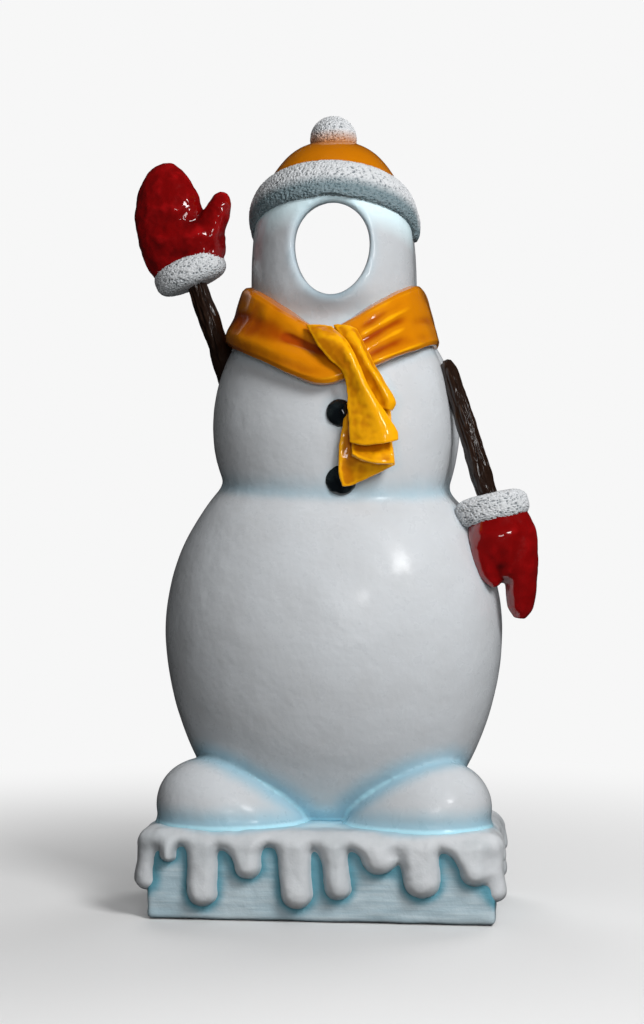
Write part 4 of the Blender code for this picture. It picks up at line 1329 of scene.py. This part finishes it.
band = {
    "high": dict(front=1.330, side=1.446, back=1.352),
    "low": dict(front=1.200, side=1.302, back=1.272),
    "halfWidth": 0.206, "rearGrowth": 0.016, "front": 0.196, "rear": 0.134, "squareness": 0.6,
    "halfThickness": 0.029, "lean": 0.044, "rounding": 0.14, "ripple": 0.0030,
    "profileShare": 0.78,  # the rest of the tube runs straight down inside the neck
    "profile": ((-0.86, -2.0), (-0.97, -0.6), (-1.0, 0.1), (-0.94, 0.62), (-0.78, 0.92), (-0.4, 1.02),
                (0.0, 1.0), (0.4, 0.97), (0.86, 0.92), (0.97, 0.72), (1.0, 0.25), (0.98, -0.6),
                (0.86, -2.0)),  # up and outwards, from the lower inner edge to the upper one
    "folds": (  # start, end, half width, height
        ((-0.105, 1.318), (0.020, 1.266), 0.011, -0.0100), ((-0.17, 1.385), (0.0, 1.312), 0.018, 0.0045),
        ((-0.44, 1.402), (0.050, 1.226), 0.021, 0.0085), ((-0.085, 1.372), (-0.015, 1.316), 0.010, -0.0040),
        ((0.060, 1.300), (0.205, 1.395), 0.0065, 0.0042), ((0.064, 1.284), (0.200, 1.370), 0.006, -0.0030),
        ((0.068, 1.266), (0.205, 1.350), 0.0065, 0.0042), ((0.080, 1.252), (0.200, 1.322), 0.006, -0.0026),
        ((0.090, 1.240), (0.225, 1.306), 0.0065, 0.0040), ((0.075, 1.322), (0.160, 1.385), 0.007, -0.0024),
        ((0.060, 1.236), (0.450, 1.372), 0.018, 0.0060), ((-0.42, 1.436), (-0.12, 1.340), 0.016, -0.0050),
        ((0.16, 1.335), (0.42, 1.420), 0.016, -0.0040),
    ),
}


def bandEdge(heights, turn):
    rounding = band["rounding"]
    sideness = (np.hypot(np.sin(turn), rounding) - rounding) / (math.hypot(1, rounding) - rounding)
    front = heights["side"] + (heights["front"] - heights["side"]) * np.maximum(1 - sideness, 0)
    back = heights["side"] + (heights["back"] - heights["side"]) * np.abs(np.cos(turn)) ** 1.1
    return np.where(np.cos(turn) > 0, front, back)


def makeBand():
    piece = addRing("scarf_band", 256, 64, 1)
    points = getPoints(piece)
    turn = np.arctan2(points[:, 0], -points[:, 1])
    angle = np.arctan2(points[:, 2], np.hypot(points[:, 0], points[:, 1]) - 1)
    limit = math.pi * band["profileShare"]
    steps = np.linspace(-limit, limit, len(band["profile"]))
    up, out = [np.interp(angle, steps, column) for column in np.array(band["profile"]).T]
    wrap = np.where(angle > 0, angle - limit, angle + 2 * math.pi - limit) / (2 * (math.pi - limit))
    inner = band["profile"][-1][0]
    up = np.where(np.abs(angle) > limit, inner - 2 * inner * wrap, up)
    across, ahead = np.sin(turn), np.cos(turn)
    rearness = np.clip(-ahead * 2, 0, 1)
    halfWide = band["halfWidth"] + band["rearGrowth"] * rearness
    depth = np.where(ahead > 0, band["front"], band["rear"])
    power = np.where(ahead > 0, 1.0, band["squareness"])
    baseX = halfWide * np.sign(across) * np.abs(across) ** power
    baseY = -depth * np.sign(ahead) * np.abs(ahead) ** power
    high, low = bandEdge(band["high"], turn), bandEdge(band["low"], turn)
    z = (high + low) / 2 + up * (high - low) / 2
    reach = band["halfThickness"] * out - band["lean"] * (1 - 0.5 * rearness) * up / 2
    frontness = np.clip((ahead + 0.1) / 0.4, 0, 1) * (out > 0)
    x = baseX + across * reach
    folds = sum(height * ridgeLine(x, z, start, end, width) for start, end, width, height in band["folds"])
    ripple = np.sin(turn * 3 + up * 1.4) * band["ripple"] * (out > 0) * (1 - frontness)
    reach = reach + folds * frontness + ripple
    setPoints(piece, np.stack([baseX + across * reach, baseY - ahead * reach, z], axis=1))
    facedOut(piece)
    softened(piece, 4)
    roughen(piece, 0.045, 0.0018, 9.0)
    return piece


scarfBand = makeBand()
writeMark(scarfBand, "relief", reliefMark(scarfBand, 40, 0.0030))
bandPaintedShade = ((-0.22, -0.75), (-0.11, -0.52), (0.02, -0.15), (0.12, -0.22))  # painted shade, darker towards the left end: x, how much lighter
writeMark(scarfBand, "glow", np.interp(getPoints(scarfBand)[:, 0], *np.array(bandPaintedShade).T))


# Scarf tails: each sheet of cloth is a net of rows, left to right, of (x, z, y)

tailNets = {
    "fold": (
        ((-0.040, 1.338, -0.214), (-0.022, 1.338, -0.222), (0.000, 1.337, -0.226), (0.020, 1.334, -0.222)),
        ((-0.026, 1.312, -0.240), (0.002, 1.314, -0.252), (0.034, 1.310, -0.254), (0.050, 1.306, -0.244)),
        ((-0.008, 1.284, -0.248), (0.024, 1.288, -0.260), (0.054, 1.284, -0.264), (0.068, 1.282, -0.252)),
        ((0.018, 1.254, -0.250), (0.046, 1.256, -0.259), (0.070, 1.252, -0.266), (0.083, 1.248, -0.254)),
        ((0.045, 1.226, -0.250), (0.062, 1.222, -0.257), (0.086, 1.216, -0.266), (0.099, 1.212, -0.253)),
        ((0.054, 1.185, -0.248), (0.074, 1.182, -0.255), (0.105, 1.176, -0.266), (0.121, 1.172, -0.253)),
        ((0.057, 1.140, -0.248), (0.084, 1.138, -0.256), (0.125, 1.134, -0.267), (0.147, 1.133, -0.253)),
        ((0.060, 1.098, -0.249), (0.090, 1.095, -0.260), (0.138, 1.096, -0.270), (0.169, 1.098, -0.254)),
        ((0.060, 1.070, -0.250), (0.094, 1.064, -0.264), (0.142, 1.068, -0.272), (0.172, 1.076, -0.256)),
    ),
    "strip": (
        ((0.020, 1.338, -0.212), (0.048, 1.337, -0.222), (0.062, 1.334, -0.222), (0.076, 1.328, -0.210)),
        ((0.044, 1.300, -0.232), (0.066, 1.300, -0.244), (0.082, 1.296, -0.244), (0.096, 1.290, -0.226)),
        ((0.062, 1.256, -0.236), (0.088, 1.252, -0.246), (0.104, 1.248, -0.250), (0.119, 1.243, -0.230)),
        ((0.084, 1.212, -0.236), (0.112, 1.208, -0.244), (0.130, 1.203, -0.251), (0.146, 1.198, -0.232)),
        ((0.110, 1.170, -0.236), (0.132, 1.168, -0.243), (0.150, 1.165, -0.250), (0.165, 1.161, -0.234)),
        ((0.124, 1.148, -0.236), (0.138, 1.144, -0.241), (0.148, 1.142, -0.245), (0.157, 1.140, -0.234)),
    ),
    "return": (
        ((0.064, 1.100, -0.222), (0.090, 1.100, -0.224), (0.130, 1.100, -0.226), (0.158, 1.100, -0.226)),
        ((0.064, 1.075, -0.232), (0.092, 1.070, -0.232), (0.128, 1.068, -0.234), (0.157, 1.070, -0.232)),
        ((0.065, 1.055, -0.244), (0.094, 1.046, -0.246), (0.128, 1.044, -0.247), (0.159, 1.046, -0.240)),
        ((0.068, 1.046, -0.250), (0.096, 1.030, -0.252), (0.129, 1.024, -0.252), (0.162, 1.023, -0.242)),
    ),
    "under": (
        ((0.050, 1.160, -0.214), (0.080, 1.160, -0.216), (0.120, 1.160, -0.216), (0.150, 1.160, -0.214)),
        ((0.043, 1.110, -0.222), (0.075, 1.108, -0.222), (0.120, 1.108, -0.222), (0.154, 1.108, -0.220)),
        ((0.036, 1.066, -0.224), (0.070, 1.062, -0.220), (0.120, 1.058, -0.226), (0.158, 1.056, -0.222)),
        ((0.035, 1.030, -0.224), (0.062, 1.026, -0.222), (0.112, 1.026, -0.229), (0.160, 1.036, -0.222)),
        ((0.036, 1.000, -0.222), (0.062, 1.000, -0.218), (0.112, 1.008, -0.226), (0.161, 1.027, -0.220)),
        ((0.043, 0.972, -0.216), (0.066, 0.976, -0.212), (0.112, 0.996, -0.218), (0.162, 1.021, -0.216)),
    ),
}
tailThickness = {"fold": 0.013, "strip": 0.016, "return": 0.011, "under": 0.030}


def smoothed(pick, count, spots):  # a curve through evenly spaced values
    place = np.clip(spots * (count - 1), 0, count - 1.0001)
    i = place.astype(int)
    t = (place - i)[:, None]
    before, start, end, after = [pick(np.clip(i + k, 0, count - 1)) for k in (-1, 0, 1, 2)]
    return 0.5 * (2 * start + (end - before) * t + (2 * before - 5 * start + 4 * end - after) * t ** 2
                  + (3 * start - before - 3 * end + after) * t ** 3)


def addSheet(name, net, thickness):
    deselect()
    bpy.ops.mesh.primitive_grid_add(x_subdivisions=40, y_subdivisions=90, size=1)
    piece = named(name)
    points = getPoints(piece)
    across, down = points[:, 0] + 0.5, 0.5 - points[:, 1]
    table = np.array(net)  # rows, columns, (x, z, y)
    rows, columns = table.shape[:2]
    lines = np.stack([smoothed(lambda i: table[i, c], rows, down) for c in range(columns)], axis=1)
    every = np.arange(len(points))
    found = smoothed(lambda i: lines[every, i], columns, across)
    setPoints(piece, found[:, (0, 2, 1)])
    thick = piece.modifiers.new("thick", "SOLIDIFY")
    thick.thickness = thickness
    thick.offset = -1
    applyModifiers(piece)
    facedOut(piece)
    return piece


def makeTail(name, parts, rounds):
    tail = joined([addSheet(name + key, tailNets[key], tailThickness[key]) for key in parts], name)
    fused(tail, 0.0021, rounds)
    roughen(tail, 0.030, 0.0014, 4.4)
    roughen(tail, 0.012, 0.0006, 2.9)
    writeMark(tail, "relief", reliefMark(tail, 30, 0.0011))
    return tail


frontTail = makeTail("scarf_tail_upper", ("fold", "strip"), 7)
backTail = makeTail("scarf_tail_lower", ("return", "under"), 6)
tailPaintedLight = ((1.10, 0.55), (1.17, 0.45), (1.25, 0.15), (1.33, -0.10))  # painted light, lighter towards the bottom and a little darker at the top: z, how much lighter
writeMark(frontTail, "glow", np.interp(getPoints(frontTail)[:, 2], *np.array(tailPaintedLight).T))
# a little painted light over the whole lower tail
writeMark(backTail, "glow", np.full(len(backTail.data.vertices), 0.20))
# painted shade where the tails and the raised arm lie over each other and the band
writeMark(backTail, "meeting", averaged(backTail, meetingMark(backTail, [frontTail], 0.016), 2) * 0.8)
writeMark(frontTail, "meeting", averaged(frontTail, meetingMark(frontTail, [backTail], 0.010), 1) * 0.6)
laid = [frontTail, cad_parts["arm_raised"]]
writeMark(scarfBand, "meeting", averaged(scarfBand, meetingMark(scarfBand, laid, 0.022), 2))
wearPaint(scarfBand, scarfMaterial, "scarf_yellow", "scarf_wrap")
wearPaint(frontTail, scarfMaterial, "scarf_yellow", "scarf_tail_front")
wearPaint(backTail, scarfMaterial, "scarf_yellow", "scarf_tail_back")
print("scarf", len(scarfBand.data.polygons), len(frontTail.data.polygons), len(backTail.data.polygons))


# Studio

studio = {
    "away": 4.2,  # every light's distance from its aim
    "aim": (0.0, 0.0, 0.95),
    "lights": {  # azimuth from the front towards +X, elevation, size, power, whether gloss shows it
        "key": (40, 34, 1.4, 136, False),
        "glint": (38, 23, 0.68, 15, True),
        "low": (14, 8, 0.40, 2.6, True),
        "front": (12, 5, 1.6, 44, False),
        "top": (0, 72, 1.8, 12, False),
        "left": (-30, 5, 1.8, 4.5, False),
        "rearLeft": (-150, 38, 2.2, 62, False),
        "rearRight": (145, 30, 2.2, 62, False),
    },
    "ambient": 0.045,
    "reflected": 0.012,
    "white": 0.93,
    "floor": (0.80, 0.80, 0.80),
    "bounce": (0.12, 0.12, 0.12),
    "fade": (0.5, 2.6),  # distances between which the floor runs into the white surround
    "floorPaint": {"coat": 0.0, "coatRoughness": 0.08, "coatIor": 1.5, "specular": 0.5},
}
cameraView = {
    "place": (0.4446, -4.4781, 0.916), "turn": 6,
    "focalPixels": 1908.6, "picturePixels": 1024, "sensorHeight": 36,
}


def addLight(name, azimuth, elevation, size, power, shown):
    azimuth, elevation = math.radians(azimuth), math.radians(elevation)
    aim = Vector(studio["aim"])
    way = Vector((math.sin(azimuth) * math.cos(elevation), -math.cos(azimuth) * math.cos(elevation),
                  math.sin(elevation)))
    deselect()
    bpy.ops.object.light_add(type="AREA", location=aim + way * studio["away"])
    light = bpy.context.active_object
    light.name = name
    light.data.size = size
    light.data.energy = power
    light.visible_glossy = shown
    light.rotation_euler = (-way).to_track_quat("-Z", "Y").to_euler()


for name, values in studio["lights"].items():
    addLight(name, *values)

def chosen(tree, ray, otherwise, seen):  # one surface for rays of a kind, another for the rest
    choice, path = addNode(tree, "ShaderNodeMixShader"), addNode(tree, "ShaderNodeLightPath")
    link(tree, path.outputs[ray], choice.inputs[0])
    link(tree, otherwise, choice.inputs[1])
    link(tree, seen, choice.inputs[2])
    return choice.outputs[0]


def backdrop(tree, strength):
    node = addNode(tree, "ShaderNodeBackground", Strength=strength)
    node.inputs["Color"].default_value = (1, 1, 1, 1)
    return node.outputs[0]


world = bpy.data.worlds.new("studio")
world.use_nodes = True
tree = world.node_tree
around = chosen(tree, "Is Glossy Ray", backdrop(tree, studio["ambient"]), backdrop(tree, studio["reflected"]))
around = chosen(tree, "Is Camera Ray", around, backdrop(tree, studio["white"]))
link(tree, around, tree.nodes["World Output"].inputs["Surface"])
bpy.context.scene.world = world

deselect()
bpy.ops.mesh.primitive_plane_add(size=60, location=(0, 0, -0.0005))
floor = named("floor")
bpy.ops.object.transform_apply()
floorPaint, tree, shader = newPaint("floor paint", studio["floorPaint"])
shader.inputs["Roughness"].default_value = 0.8
shader.inputs["Base Color"].default_value = (*studio["floor"], 1)
span = addNode(tree, "ShaderNodeVectorMath", operation="LENGTH")
link(tree, addNode(tree, "ShaderNodeTexCoord").outputs["Object"], span.inputs[0])
glow = addNode(tree, "ShaderNodeEmission", Strength=studio["white"])
dim = addNode(tree, "ShaderNodeBsdfDiffuse")
dim.inputs["Color"].default_value = (*studio["bounce"], 1)
mirrored = addNode(tree, "ShaderNodeEmission", Strength=studio["reflected"])
near = addNode(tree, "ShaderNodeMixShader")
link(tree, addRange(tree, span.outputs["Value"], *studio["fade"]), near.inputs[0])
link(tree, shader.outputs[0], near.inputs[1])
link(tree, glow.outputs[0], near.inputs[2])
lit = chosen(tree, "Is Glossy Ray", dim.outputs[0], mirrored.outputs[0])
lit = chosen(tree, "Is Camera Ray", lit, near.outputs[0])
link(tree, lit, tree.nodes["Material Output"].inputs["Surface"])
floor.data.materials.append(floorPaint)

deselect()
bpy.ops.object.camera_add()
camera = bpy.context.active_object
camera.name = "camera"
turned = Matrix.Rotation(math.radians(cameraView["turn"]), 4, "Z") @ Matrix.Rotation(math.radians(90), 4, "X")
camera.matrix_world = Matrix.Translation(cameraView["place"]) @ turned
camera.data.sensor_fit = "VERTICAL"
camera.data.sensor_height = cameraView["sensorHeight"]
camera.data.lens = cameraView["focalPixels"] * cameraView["sensorHeight"] / cameraView["picturePixels"]
camera.data.dof.use_dof = False
bpy.context.scene.camera = camera
bpy.context.scene.view_settings.view_transform = "Standard"
print("studio")
